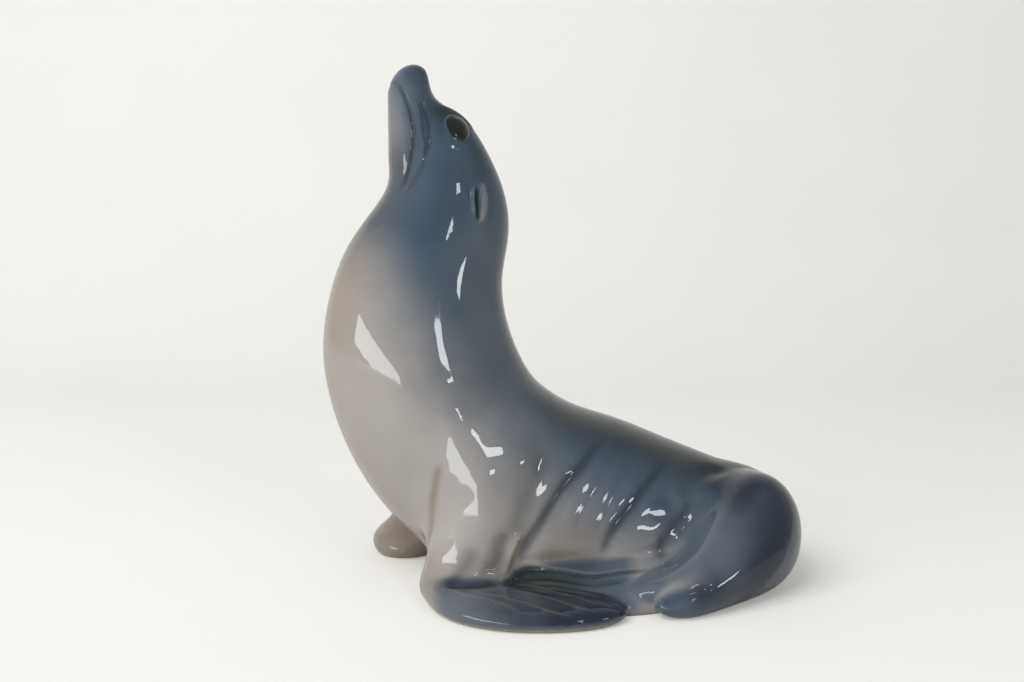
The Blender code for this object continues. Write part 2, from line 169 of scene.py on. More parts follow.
# Each form with the fillet that joins it to those before it, and how square its sections are
FORMS = (
    (TORSO, 0.0, 2.0),
    (NEAR_FLANK, 24.0, 2.0),
    (FAR_FLANK, 24.0, 2.0),
    (NEAR_ARM, 24.0, 2.0),
    (NEAR_BLADE, 9.0, 2.5),
    (FAR_ARM, 14.0, 2.0),
    (FAR_BLADE, 15.0, 2.5),
    (HIND_LIMB, 10.0, 2.0),
    (THIGH_FORM, 12.0, 2.0),
    (HIND_BLADE, 4.0, 2.5),
)

# %% [markdown]
# ## One smooth curve through every table
# Straight runs between the sections would show as flats in the glaze, where every reflection gives a flat
# away. A natural cubic spline has no jump in its slope or its bend, so it is used for the centres, the sizes
# and the angles alike. It runs through the squares of the sizes, which closes each form in a round end.

# %% Splines and sections
def natural_spline(knots, values, at):
    """Cubic pieces through values at knots, with equal slopes and bends where they meet, at each of at."""
    gap = np.diff(knots)
    slope = np.diff(values, axis=0) / gap[:, None]
    inner = np.arange(1, len(knots) - 1)
    system = np.eye(len(knots))
    system[inner, inner - 1] = gap[:-1]
    system[inner, inner] = 2 * (gap[:-1] + gap[1:])
    system[inner, inner + 1] = gap[1:]
    right = np.zeros_like(values, float)
    right[inner] = 6 * np.diff(slope, axis=0)
    bend = np.linalg.solve(system, right)
    k = np.clip(np.searchsorted(knots, at, side="right") - 1, 0, len(knots) - 2)
    h, t = gap[k][:, None], (at - knots[k])[:, None]
    line = values[k] + t * (slope[k] - h * (2 * bend[k] + bend[k + 1]) / 6)
    return line + t**2 * bend[k] / 2 + t**3 * (bend[k + 1] - bend[k]) / (6 * h)


def unit(vectors):
    """Each vector over its own length."""
    return vectors / np.linalg.norm(vectors, axis=-1, keepdims=True)


def arc_lengths(points):
    """The running sum of the distances between neighbouring points."""
    return np.concatenate([[0], np.cumsum(np.linalg.norm(np.diff(points, axis=0), axis=1))])


# Sections per form where distances are measured, and the least half size that is divided by
SECTIONS = 160
LEAST_HALF = 0.05


def sections(rows, count):
    """Sections spread along a form, closer together near its ends, as a dictionary of arrays.

    station is the row number as a fraction, growth is how fast each half size changes for its size, and
    end_gap is the way left along the form to its nearest end.
    """
    table = np.array(rows, float)
    knots = arc_lengths(table[:, :3])
    share = np.linspace(0, 1, count)
    at = (share - 0.92 * np.sin(2 * np.pi * share) / (2 * np.pi)) * knots[-1]
    centre = natural_spline(knots, table[:, :3], at)
    half = np.sqrt(np.maximum(natural_spline(knots, table[:, 3:5] ** 2, at), 0))
    lean, turn = natural_spline(knots, np.radians(table[:, 5:7]), at).T
    depth = np.stack([np.cos(lean) * np.cos(turn), np.cos(lean) * np.sin(turn), np.sin(lean)], 1)
    width = unit(np.cross(unit(np.gradient(centre, at, axis=0)), depth))
    growth = np.gradient(half**2, at, axis=0) / (2 * np.maximum(half, LEAST_HALF) ** 2)
    return dict(
        centre=centre, depth=depth, width=width, travel=unit(np.cross(depth, width)),
        half=half, growth=growth, station=np.interp(at, knots, np.arange(len(knots))),
        end_gap=np.minimum(at, knots[-1] - at)[:, None],
    )


print("body is", arc_lengths(np.array(TORSO, float)[:, :3])[-1].round(), "mm long along its middle")

# %% [markdown]
# ## From lofts to one skin
# The lofts overlap, and the real clay has soft fillets where flippers meet the body. So each loft also gives
# a distance to its surface, and a smooth minimum of those distances describes the whole animal at once. A
# voxel remesh of the overlapping lofts only supplies the net of faces, which then settles on that surface.

# %% The lofts as grids
def loft_grid(rows, along, around):
    """Point (i, j) is centre(i) + depth(i) cos(angle j) + width(i) sin(angle j). The end rings close up."""
    s = sections(rows, along)
    angle = np.linspace(0, 2 * np.pi, around, endpoint=False)
    radius = np.maximum(s["half"], 0.02)
    ring = radius[:, 0, None, None] * np.cos(angle)[:, None] * s["depth"][:, None]
    ring = ring + radius[:, 1, None, None] * np.sin(angle)[:, None] * s["width"][:, None]
    points = (s["centre"][:, None] + ring).reshape(-1, 3)
    i, j = np.meshgrid(np.arange(along - 1), np.arange(around), indexing="ij")
    k = (j + 1) % around
    quads = np.stack([i * around + j, i * around + k, (i + 1) * around + k, (i + 1) * around + j], -1)
    faces = quads.reshape(-1, 4).tolist()
    faces += [list(range(around - 1, -1, -1)), list(range((along - 1) * around, along * around))]
    return points, faces


def mesh_object(name, points, faces):
    """An object whose mesh has these points, given in millimetres, and these faces."""
    mesh = bpy.data.meshes.new(name)
    mesh.from_pydata((points * MM).tolist(), [], faces)
    mesh.update()
    obj = bpy.data.objects.new(name, mesh)
    bpy.context.scene.collection.objects.link(obj)
    return obj


def modify(obj, kind, **settings):
    """Applies one modifier with these settings to an object's mesh."""
    modifier = obj.modifiers.new(kind.title(), kind)
    for key, value in settings.items():
        setattr(modifier, key, value)
    graph = bpy.context.evaluated_depsgraph_get()
    graph.update()
    mesh = bpy.data.meshes.new_from_object(obj.evaluated_get(graph))
    obj.modifiers.clear()
    obj.data = mesh


grids = [loft_grid(rows, 60, 40) for rows, _, _ in FORMS]
starts = np.cumsum([0] + [len(points) for points, _ in grids])
seal = mesh_object(
    "porcelain_seal",
    np.concatenate([points for points, _ in grids]),
    [[v + int(start) for v in face] for (_, faces), start in zip(grids, starts) for face in faces],
)
print(len(FORMS), "lofts,", len(seal.data.polygons), "faces")

# %% Which section of a loft lies nearest to a point
def locate(points, s):
    """The section plane through each point: its number and share, and how far past the form's end it lies.

    A point lies between two planes where its distance ahead changes sign, and the nearest such pair counts,
    unless it lies past an end of the form that is nearer still.
    """
    ahead = points @ s["travel"].T - (s["centre"] * s["travel"]).sum(1)
    between = (ahead[:, :-1] >= 0) & (ahead[:, 1:] < 0)
    away = (s["centre"][:-1] ** 2).sum(1) - 2 * points @ s["centre"][:-1].T
    away[~between] = np.inf
    k, n, found = away.argmin(1), np.arange(len(points)), between.any(1)
    share = np.where(found, ahead[n, k] / np.where(found, ahead[n, k] - ahead[n, k + 1], 1), 0)
    ends = (s["centre"][[0, -1]] ** 2).sum(1) - 2 * points @ s["centre"][[0, -1]].T
    past = (ends < away[n, k][:, None]) & (ahead[:, [0, -1]] * [-1, 1] > 0)
    found &= ~past.any(1)
    at_end = ~found & (ends[:, 1] < ends[:, 0])
    k = np.where(at_end, len(s["centre"]) - 2, np.where(found, k, 0))
    share = np.where(at_end, 1, share)
    beyond = np.where(found, 0, np.where(at_end, ahead[:, -1], -ahead[:, 0]))
    return k, share[:, None], beyond


def between_sections(s, name, k, share):
    """A value between sections k and k + 1: (1 - share) of the first plus share of the second."""
    return s[name][k] * (1 - share) + s[name][k + 1] * share


torso_ends = locate(np.array(TORSO, float)[[0, -1], :3], sections(TORSO, SECTIONS))[0]
print("the nose and the rump lie in gaps", torso_ends.tolist(), "between the torso's sections")

# %% How far a point is from a loft
FAR_AWAY = 1000.0
CHUNK = 15000


def loft_distance(points, rows, square, reach=26.0):
    """(radius - 1) / its slope, where radius is (|u|^n + |v|^n)^(1/n) in units of the half sizes."""
    s = sections(rows, SECTIONS)
    s["half"] = np.maximum(s["half"], LEAST_HALF)
    pad = s["half"].max() + reach
    close = ((points > s["centre"].min(0) - pad) & (points < s["centre"].max(0) + pad)).all(1)
    result = np.full(len(points), FAR_AWAY)
    for part in np.array_split(np.nonzero(close)[0], max(1, close.sum() // CHUNK)):
        p = points[part]
        k, share, beyond = locate(p, s)
        offset = p - between_sections(s, "centre", k, share)
        half = between_sections(s, "half", k, share)
        grows = between_sections(s, "growth", k, share)
        u = (offset * unit(between_sections(s, "depth", k, share))).sum(1) / half[:, 0]
        v = (offset * unit(between_sections(s, "width", k, share))).sum(1) / half[:, 1]
        u, v = np.abs(u), np.abs(v)
        radius = np.maximum((u**square + v**square) ** (1 / square), 1e-6)
        slope_u = (u / radius) ** (square - 1) / half[:, 0]
        slope_v = (v / radius) ** (square - 1) / half[:, 1]
        slope_t = (u**square * grows[:, 0] + v**square * grows[:, 1]) / radius ** (square - 1)
        slope_t = slope_t * np.clip(1 - 2 * np.abs(radius - 1), 0, 1)
        flat = (radius - 1) / np.maximum(np.sqrt(slope_u**2 + slope_v**2 + slope_t**2), 1e-6)
        flat = np.maximum(flat, -between_sections(s, "end_gap", k, share)[:, 0])
        result[part] = np.where(beyond > 0, np.hypot(np.maximum(flat, 0), beyond), flat)
    return result


def seal_distance(points):
    """The lofts' distances, each joined to the rest by min(a, b) - (fillet - |a - b|)^2 / (4 fillet)."""
    total = loft_distance(points, TORSO, 2.0)
    for rows, fillet, square in FORMS[1:]:
        d = loft_distance(points, rows, square)
        near = np.maximum(fillet - np.abs(total - d), 0)
        total = np.minimum(total, d) - near**2 / (4 * fillet)
    return total


belly_point = np.array([[0.0, 0.0, 50.0]])
print("a point in the belly lies", seal_distance(belly_point).round(1).tolist(), "mm from the skin")

# %% Settle the net on the surface
# Each remesh's voxel size in millimetres, and how many times its net is then settled
REMESHES = ((2.2, 3), (2.0, 2))


def read(mesh, field="co"):
    """A mesh's places in metres, or its normals, as one row of three numbers a vertex."""
    values = np.empty(len(mesh.vertices) * 3, np.float32)
    mesh.vertices.foreach_get(field, values)
    return values.reshape(-1, 3).astype(float)


def push(mesh, amount):
    """Moves every vertex along its normal by its own amount, in millimetres."""
    mesh.update()
    moved = read(mesh) + amount[:, None] * read(mesh, "normal") * MM
    mesh.vertices.foreach_set("co", moved.astype(np.float32).ravel())
    mesh.update()


def settle(mesh, rounds, limit=3.0):
    """Moves every vertex back along its normal by its distance from the surface, and by limit at most."""
    for _ in range(rounds):
        push(mesh, -np.clip(seal_distance(read(mesh) / MM), -limit, limit))


for voxel, rounds in REMESHES:
    modify(seal, "SMOOTH", factor=0.5, iterations=2)
    modify(seal, "REMESH", mode="VOXEL", voxel_size=voxel * MM)
    settle(seal.data, rounds)
print(len(seal.data.polygons), "faces after settling")

# %% [markdown]
# ## A finer net where the modeller's tools went
# The eyes, ears and lips are lines of a millimetre or two, finer than the net. Dividing only the faces near
# those lines keeps the piece light. The new vertices then settle on the same surface again.

# %% Where the fine lines of the head run
MIDPLANE_POINT = np.array([-41.5, -4, 230])
MIDPLANE_TURN = np.radians(16)
MOUTH = ((-70, -10, 282), (-68.5, -14, 285.5), (-65.5, -17, 285.5), (-62, -18.5, 281),
         (-59, -20.5, 274), (-57, -22, 267), (-55.5, -23.5, 259), (-55.5, -25, 251),
         (-56.5, -25.5, 244), (-58.5, -26, 236), (-61.5, -27, 228), (-65, -28, 221))
UPPER_LIP = ((-56, -21, 278), (-53.5, -22.5, 272), (-52, -24, 265), (-51, -26, 258), (-50, -28, 250),
             (-50.5, -29, 242), (-53.5, -29.5, 235), (-57.5, -29.5, 228), (-62, -29.5, 221))
PAD_CREASE = ((-51, -18, 277), (-49, -21.5, 270), (-47, -23, 264), (-46, -25, 256), (-47, -27.5, 248),
              (-49.5, -29.5, 241))
JAW_SWELL = ((-66, -19, 276), (-62.5, -22, 266), (-60.5, -24.5, 255), (-61.5, -26, 244),
             (-64.5, -26.5, 234))
LIDS = ((-37.5, -20, 265), (-34.5, -16.5, 268), (-30, -12, 267.5), (-26, -11, 264), (-24.6, -14, 259.5),
        (-25.6, -18.5, 255), (-28.5, -22, 252.2), (-32.5, -23.2, 253), (-35.8, -23, 257),
        (-37.4, -22, 261.3), (-37.5, -20, 265))
BROW = ((-43, -17, 273), (-38, -14, 273.5), (-31, -8, 271), (-25, -6.5, 266), (-22, -9, 259))
EYE_BAG = ((-40.5, -22, 262), (-38, -25.5, 254), (-33, -26, 248.5), (-27, -24, 247.5))
EAR_SLIT = ((-19.5, -24.5, 228), (-20.3, -25.5, 224), (-20.5, -26.5, 219), (-19.8, -27.5, 213),
            (-18.3, -28.5, 207.5))
EAR_RIM = ((-18.2, -23, 229.5), (-16.2, -23, 226.5), (-15, -24, 221), (-15.2, -25.5, 215.5),
           (-16.7, -27, 210), (-18.3, -28.5, 206.5))
EAR_FRONT = ((-21.3, -25.3, 227.5), (-22.4, -26.6, 223), (-22.5, -27.6, 217.5), (-21.5, -28.6, 211))
CHEEK = (-30, -30, 227)
CHEEK_HEIGHT = 1.3
CHEEK_RADIUS = 15.0
EYE_CENTRE = (-31, -18, 260)
EYE_HEIGHT = 1.7
# Guide points, height (negative cuts in) and width, in millimetres; each is on both sides of the head
HEAD_LINES = (
    (MOUTH, -1.3, 0.8),
    (MOUTH, -0.6, 2.4),
    (UPPER_LIP, 1.5, 1.35),
    (PAD_CREASE, -1.2, 1.3),
    (JAW_SWELL, 0.5, 3.5),
    (LIDS, 0.5, 0.65),
    (LIDS, -0.35, 2.0),
    (BROW, 0.8, 3.0),
    (EYE_BAG, -0.4, 2.0),
    (EAR_SLIT, -3.0, 1.25),
    (EAR_RIM, 2.6, 1.2),
    (EAR_FRONT, 1.1, 1.1),
)
print(len(HEAD_LINES), "lines on each side of the head")

# %% Creases and folds of the body
CHEST_CREASE = ((-38.5, -57, 77), (-40, -57, 68), (-41.5, -56, 58), (-42, -54, 50), (-42, -53, 42),
                (-44, -52, 33), (-47, -50, 25), (-50, -47, 17))
SHOULDER = ((-38, -55, 121), (-35, -56, 111), (-31, -56, 101), (-26, -58, 90), (-21, -61, 80),
            (-17, -64, 69), (-16, -65, 59), (-16, -66, 44), (-18, -67, 30))
FOLD_1 = ((15, -43, 82), (14, -46, 76), (13, -48, 71), (11, -50, 66), (7, -54, 57), (3, -56, 44),
          (0, -57, 37), (-3, -59, 28))
FOLD_2 = ((55, -20, 83), (51, -26, 80), (45, -32, 74), (38, -41, 68), (28, -48, 59), (20, -53, 48),
          (14, -56, 39), (8, -59, 30), (5, -59, 23), (4, -59, 16))
FOLD_3 = ((91, -21, 69), (88, -26, 67), (79, -35, 59), (73, -41, 54), (65, -47, 46), (59, -51, 40),
          (53, -54, 31), (48, -57, 18))
FOLD_4 = ((104, -37, 52), (95, -46, 41), (90, -48, 36), (85, -51, 31), (83, -54, 24), (82, -63, 20))
VALLEYS = (
    ((43, -38, 70), (40, -44, 65), (34, -50, 57), (28, -54, 49), (23, -57, 40)),
    ((54, -38, 68), (50, -44, 62), (44, -47, 54), (38, -52, 44), (33, -57, 34)),
    ((64, -38, 65), (60, -44, 60), (55, -50, 51), (50, -54, 42), (45, -57, 32)),
)
SWELLS = (
    ((29, -40, 75), (27, -46, 71), (23, -50, 66), (19, -53, 59), (14, -56, 51), (10, -58, 42)),
    ((40, -38, 70), (36, -45, 64), (30, -49, 58), (24, -53, 50), (19, -56, 41), (15, -59, 30)),
    ((48, -38, 70), (44, -45, 64), (39, -50, 56), (33, -54, 48), (28, -57, 38)),
    ((60, -36, 66), (56, -42, 61), (50, -49, 52), (44, -54, 44), (40, -56, 36)),
    ((72, -38, 62), (68, -44, 57), (62, -49, 48), (57, -52, 40), (53, -54, 32)),
    ((84, -34, 61), (81, -40, 56), (74, -48, 48), (68, -53, 39), (61, -56, 30)),
)
THIGH = ((127, -12, 62), (114, -21, 61), (106, -29, 58), (100, -36, 53), (96, -42, 47))
THIGH_LOW = ((116, -35, 50), (110, -40, 45), (104, -45, 39), (99, -48, 34), (94, -51, 28))
FLANK_RIM = ((-2, -59, 13), (3, -60, 15), (9, -60, 16), (14, -61, 16), (24, -63, 16), (33, -66, 15),
             (44, -70, 15), (52, -70, 16), (63, -69, 17), (75, -68, 19), (81, -65, 21))
RIM_ABOVE = tuple((x, y, z + 3.0) for x, y, z in FLANK_RIM)
UNDER_RIM = ((2, -63, 11), (10, -64.5, 12), (18, -66, 12), (28, -68.5, 11.5), (40, -73, 11.5),
             (52, -74.5, 12.5), (66, -73.5, 14.5))
FAR_FOLDS = (
    ((12, 60, 74), (8, 70, 58), (2, 73, 42), (-6, 72, 26)),
    ((42, 48, 76), (32, 64, 62), (22, 71, 46), (14, 72, 28)),
    ((82, 44, 62), (68, 60, 50), (58, 66, 36), (52, 66, 22)),
)
FAR_SWELLS = (
    ((28, 56, 76), (20, 68, 58), (12, 73, 42), (5, 73, 28)),
    ((60, 50, 68), (50, 63, 55), (40, 69, 40)),
)
NECK_VALLEYS = (
    ((-14, -22, 214), (-16, -28, 197), (-18, -31, 184), (-22, -35, 168), (-23.5, -40, 153), (-21, -41, 140),
     (-18, -42, 130), (-12, -43, 116), (-3, -42, 102), (8, -42, 90), (20, -40, 82)),
    ((-14, 26, 205), (-20, 34, 172), (-18, 42, 145), (-12, 48, 120), (-2, 54, 98)),
)

# %% Lines of the flippers
ARM_FOOT = ((-38, -70, 16), (-34, -74, 14), (-29, -78, 13), (-18, -78, 13), (-9, -74, 12), (-1, -74, 12))
ARM_RIDGE = ((4, -58, 38), (1, -59, 32), (-2, -60, 24), (-4, -60, 16), (-3, -64, 11))
ARM_HOLLOWS = (((-4, -60, 40), (-8, -62, 30), (-10, -62, 21), (-14, -65, 16), (-19, -73, 13), (-26, -80, 12)),
               ((-21, -65, 32), (-24, -67, 22), (-27, -69, 17), (-31, -75, 13), (-36, -82, 12)))
FINGERS = (
    ((-36, -78, 12), (-32, -83, 12), (-27, -88, 12), (-19, -93, 12), (-11, -97, 12), (-1, -105, 11),
     (7, -111, 9)),
    ((-20, -85, 13), (-15, -89, 13), (-8, -92, 13), (-2, -95, 12), (8, -101, 11), (22, -109, 9),
     (34, -112, 7)),
    ((-6, -76, 12), (0, -80, 12), (10, -85, 11), (23, -94, 11), (35, -104, 9), (47, -106, 7)),
    ((-2, -68, 11), (6, -69, 10), (18, -76, 10), (33, -88, 10), (44, -98, 9), (52, -100, 7)),
)
WEBS = (
    ((3, -63, 12), (10, -65, 13), (20, -66, 13), (32, -70, 13), (45, -75, 13), (58, -79, 12)),
    ((4, -66, 11), (12, -69, 11), (20, -71, 12), (28, -73, 11), (40, -78, 11), (54, -83, 9)),
    ((6, -69, 10), (14, -73, 10), (24, -76, 10), (36, -81, 10), (48, -86, 9)),
    ((6, -73, 10), (16, -79, 10), (28, -85, 10), (40, -91, 9)),
)
FAR_FINGERS = (
    ((-60, 52, 13), (-46, 72, 12), (-34, 88, 9)),
    ((-54, 48, 13), (-36, 66, 12), (-18, 84, 9)),
)
LIMB_CREASE = ((76, -98, 8), (82, -97, 11), (89, -96, 13), (98, -93, 15), (106, -89, 16))
BODY_LINES = (
    [(CHEST_CREASE, -1.0, 2.6), (CHEST_CREASE, -0.35, 1.1), (SHOULDER, 1.9, 9.5)]
    + [(FOLD_1, -0.9, 6.5), (FOLD_2, -1.3, 3.6), (FOLD_2, -0.45, 1.5)]
    + [(FOLD_3, -1.2, 3.8), (FOLD_3, -0.4, 1.6), (FOLD_4, -0.9, 3.8)]
    + [(THIGH, -2.2, 5.5), (THIGH_LOW, -0.7, 4.5)]
    + [(line, -0.3, 1.8) for line in VALLEYS]
    + [(line, 0.45, 5.0) for line in SWELLS]
    + [(FLANK_RIM, -1.5, 1.1), (RIM_ABOVE, 0.9, 1.6), (UNDER_RIM, -1.1, 2.0)]
    + [(line, -1.8, 4.0) for line in FAR_FOLDS]
    + [(line, 1.0, 5.5) for line in FAR_SWELLS]
    + [(line, -0.4, 9.0) for line in NECK_VALLEYS]
    + [(ARM_FOOT, -0.9, 2.2), (ARM_RIDGE, 1.7, 2.4), (LIMB_CREASE, -1.6, 1.8)]
    + [(line, -0.7, 4.2) for line in ARM_HOLLOWS]
    + [(line, 0.3, 1.0) for line in FINGERS]
    + [(line, -0.6, 1.0) for line in WEBS]
    + [(line, 0.6, 2.5) for line in FAR_FINGERS]
)
print(len(BODY_LINES), "lines on the body and the flippers")

# %% Lay the lines on the skin
def laid(guide, count=28):
    """Guide points moved down the slope of the distance onto the skin, joined by a smooth curve."""
    points = np.array(guide, float)
    nudge = np.concatenate([np.eye(3), -np.eye(3)]) * 0.5
    for _ in range(4):
        level = seal_distance((points[:, None] + nudge).reshape(-1, 3)).reshape(-1, 6)
        slope = level[:, :3] - level[:, 3:]
        slope = slope / np.maximum((slope**2).sum(1, keepdims=True), 1e-6)
        points = points - seal_distance(points)[:, None] * slope
    if len(points) < 3:
        return points
    knots = arc_lengths(points)
    return natural_spline(knots, points, np.linspace(0, knots[-1], count))


def mirrored(guide):
    """The same points on the other side of the head's upright middle plane."""
    across = np.array([-np.sin(MIDPLANE_TURN), np.cos(MIDPLANE_TURN), 0])
    points = np.array(guide, float)
    return points - 2 * ((points - MIDPLANE_POINT) @ across)[:, None] * across


def line_mask(points, line, width):
    """exp(-(distance / width)^2), faded out over the last fifth at both ends of an open line."""
    mask = np.zeros(len(points))
    reach = 3 * width
    near = np.nonzero(((points > line.min(0) - reach) & (points < line.max(0) + reach)).all(1))[0]
    step = np.diff(line, axis=0)
    for part in np.array_split(near, max(1, len(near) // 20000)):
        offset = points[part, None] - line[:-1]
        share = np.clip((offset * step).sum(2) / (step**2).sum(1), 0, 1)
        away = np.linalg.norm(offset - share[..., None] * step, axis=2)
        k, n = away.argmin(1), np.arange(len(part))
        along = (k + share[n, k]) / len(step)
        open_ends = np.clip(np.minimum(along, 1 - along) / 0.2, 0, 1)
        ends = 1.0 if np.linalg.norm(line[0] - line[-1]) < 0.1 else open_ends
        mask[part] = ends * ends * (3 - 2 * ends) * np.exp(-((away[n, k] / width) ** 2))
    return mask


head_curves = [(laid(g), height, width) for g, height, width in HEAD_LINES]
head_curves += [(laid(mirrored(g)), height, width) for g, height, width in HEAD_LINES]
body_curves = [(laid(g), height, width) for g, height, width in BODY_LINES]
eye_guides = ((EYE_CENTRE, LIDS), (mirrored([EYE_CENTRE])[0], mirrored(LIDS)))
eyes = [(laid([middle])[0], laid(loop)) for middle, loop in eye_guides]
print("eyes at", [centre.round(1).tolist() for centre, _ in eyes])

# %% Divide the faces near the fine lines
def divide(obj, wanted):
    """Splits in two every edge whose middle is wanted, and lets the faces follow."""
    bm = bmesh.new()
    bm.from_mesh(obj.data)
    places = np.array([vertex.co[:] for vertex in bm.verts])
    ends = np.array([[vertex.index for vertex in e.verts] for e in bm.edges])
    middles = places[ends].mean(1) / MM
    chosen = [e for e, yes in zip(bm.edges, wanted(middles)) if yes]
    bmesh.ops.subdivide_edges(bm, edges=chosen, cuts=1, use_grid_fill=True)
    bmesh.ops.triangulate(bm, faces=[f for f in bm.faces if len(f.verts) > 4])
    bm.to_mesh(obj.data)
    bm.free()
    obj.data.update()
    return len(chosen)


def near_lines(curves, reach):
    """A test that is true where any curve's mask of this width is above 0.3."""
    def wanted(points):
        masks = [line_mask(points, line, reach) for line, _, _ in curves]
        return np.max(masks, axis=0) > 0.3
    return wanted


HEAD_ABOVE = 200
fine_body = [(line, height, width) for line, height, width in body_curves if width < 3]
print(divide(seal, lambda p: (p[:, 2] > HEAD_ABOVE) | near_lines(fine_body, 5.0)(p)), "edges divided once")
settle(seal.data, 1, 0.5)
print(divide(seal, near_lines(head_curves, 3.2)), "edges divided twice")
settle(seal.data, 1, 0.3)

# %% Press the lines and the eyes into the skin
# Past this many millimetres from its middle a point is no part of an eye, and gets this radius
EYE_REACH = 14
NOT_EYE = 9


def eye_radius(points, centre, loop):
    """Distance from the eye's middle over the lids' distance in the same direction, so 1 is on the lids."""
    out = unit(np.cross(loop[0] - centre, loop[7] - centre))
    across = unit(loop[0] - centre - ((loop[0] - centre) @ out) * out)
    frame_2d = np.stack([across, np.cross(out, across)], 1)
    flat, rim = (points - centre) @ frame_2d, (loop - centre) @ frame_2d
    turn = np.arctan2(rim[:, 1], rim[:, 0])
    order = turn.argsort()
    toward = np.arctan2(flat[:, 1], flat[:, 0])
    reach = np.interp(toward, turn[order], np.hypot(*rim[order].T), period=2 * np.pi)
    radius = np.hypot(*flat.T) / reach
    return np.where(np.linalg.norm(points - centre, axis=1) < EYE_REACH, radius, NOT_EYE)


def relief(points, widest=99.0):
    """Every line's height times its mask, exp(-(away / radius)^2) a cheek, sqrt(1 - radius^2) an eye."""
    total = np.zeros(len(points))
    for line, height, width in head_curves + body_curves:
        if width <= widest:
            total += height * line_mask(points, line, width)
    for centre in (np.array(CHEEK), mirrored([CHEEK])[0]):
        total += CHEEK_HEIGHT * np.exp(-((points - centre) ** 2).sum(1) / CHEEK_RADIUS**2)
    for centre, loop in eyes:
        total += EYE_HEIGHT * np.sqrt(np.maximum(1 - eye_radius(points, centre, loop) ** 2, 0))
    return total


def ease(mesh, centre, radii, rounds):
    """Draws vertices to the mean of their neighbours, by exp(-|offset / radii|^2), so joined forms flow."""
    edges = np.empty(len(mesh.edges) * 2, np.int32)
    mesh.edges.foreach_get("vertices", edges)
    first, second = edges.reshape(-1, 2).T
    points = read(mesh)
    share = 0.6 * np.exp(-(((points / MM - centre) / radii) ** 2).sum(1))[:, None]
    count = len(points)
    touching = np.bincount(edges, minlength=count)[:, None]
    for _ in range(rounds):
        total = [
            np.bincount(first, points[second, k], count) + np.bincount(second, points[first, k], count)
            for k in range(3)
        ]
        points += share * (np.stack(total, 1) / touching - points)
    mesh.vertices.foreach_set("co", points.astype(np.float32).ravel())
    mesh.update()


# Where the near arm's top runs into the shoulder, and how far round it the skin is eased
SHOULDER_JOIN = (-14, -55, 90)
JOIN_RADII = (24, 22, 28)
ease(seal.data, SHOULDER_JOIN, JOIN_RADII, 60)
push(seal.data, relief(read(seal.data) / MM))
print("carved,", len(seal.data.polygons), "faces")

# %% [markdown]
# ## The foot, the hollow and the vent
# Casting slip is poured into a plaster mould and poured out again, so the figure is a shell with a hole in
# its foot, and the foot is ground flat after firing. Here a plane cuts the form and the smaller form of the
# hollow, each cut is closed round a ring, and a short tube joins the two rings. A Boolean could do this too,
# but two plane cuts and a bridge keep every face where it is.

# %% Grind the foot flat and leave the vent open
WALL = 7.0
FOOT_THICKNESS = 6.0
VENT_CENTRE = (25, 10)
VENT_RADIUS = 7.0


def grind(obj, height):
    """Cuts away all that is below a height and closes the cut flat, round the vent's round hole."""
    bm = bmesh.new()
    bm.from_mesh(obj.data)
    bmesh.ops.bisect_plane(bm, geom=bm.verts[:] + bm.edges[:] + bm.faces[:], plane_co=(0, 0, height * MM),
                           plane_no=(0, 0, 1), clear_inner=True, dist=1e-6)
    place = Matrix.Translation(Vector((*VENT_CENTRE, height)) * MM)
    bmesh.ops.create_circle(bm, segments=48, radius=VENT_RADIUS * MM, matrix=place)
    rims = [e for e in bm.edges if len(e.link_faces) < 2]
    filled = bmesh.ops.triangle_fill(bm, edges=rims, use_beauty=True, use_dissolve=False)
    bmesh.ops.recalc_face_normals(bm, faces=bm.faces)
    print(len(rims), "rim edges,", len(filled["geom"]), "faces on the cut,",
          sum(e.is_boundary for e in bm.edges), "edges round the vent")
    bm.to_mesh(obj.data)
    bm.free()


grind(seal, 0)

# %% Put the hollow inside and join it through the vent
def join_through_vent(outer, inner):
    """Both shells in one mesh, a tube of faces between their round holes, and normals out of the clay."""
    bm = bmesh.new()
    bm.from_mesh(outer.data)
    bm.from_mesh(inner.data)
    bmesh.ops.bridge_loops(bm, edges=[e for e in bm.edges if e.is_boundary])
    bmesh.ops.recalc_face_normals(bm, faces=bm.faces)
    print("clay", round(bm.calc_volume(signed=True) / MM**3 / 1000), "cubic centimetres, open edges",
          sum(not e.is_manifold for e in bm.edges))
    bm.to_mesh(outer.data)
    bm.free()
    bpy.data.objects.remove(inner)


# The hollow is the torso from its fourth row on, less the wall, and its first row closes to a point
hollow_rows = [(*r[:3], max(r[3] - WALL, 0), max(r[4] - WALL, 0), *r[5:]) for r in TORSO[3:]]
hollow_rows[0] = (*hollow_rows[0][:3], 0, 0, *hollow_rows[0][5:])
hollow = mesh_object("hollow", *loft_grid(hollow_rows, 40, 24))
grind(hollow, FOOT_THICKNESS)
print("thinnest wall", round(-seal_distance(read(hollow.data) / MM).max(), 1), "mm")
join_through_vent(seal, hollow)
print("hollowed,", len(seal.data.polygons), "faces")

# %% Set it in the frame
forms = read(seal.data) / MM
box_low, box_high = np.array(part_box("seal"))
middle = (forms.min(0) + forms.max(0)) / 2 * MM
SHIFT = np.array([*((box_low + box_high) / 2 - middle)[:2], 0])
seal.data.vertices.foreach_set("co", (forms * MM + SHIFT).astype(np.float32).ravel())
seal.data.update()
seal.data.shade_smooth()
print("moved into the frame by", (SHIFT / MM).round(2), "mm")
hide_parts("seal")
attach(seal, "root")
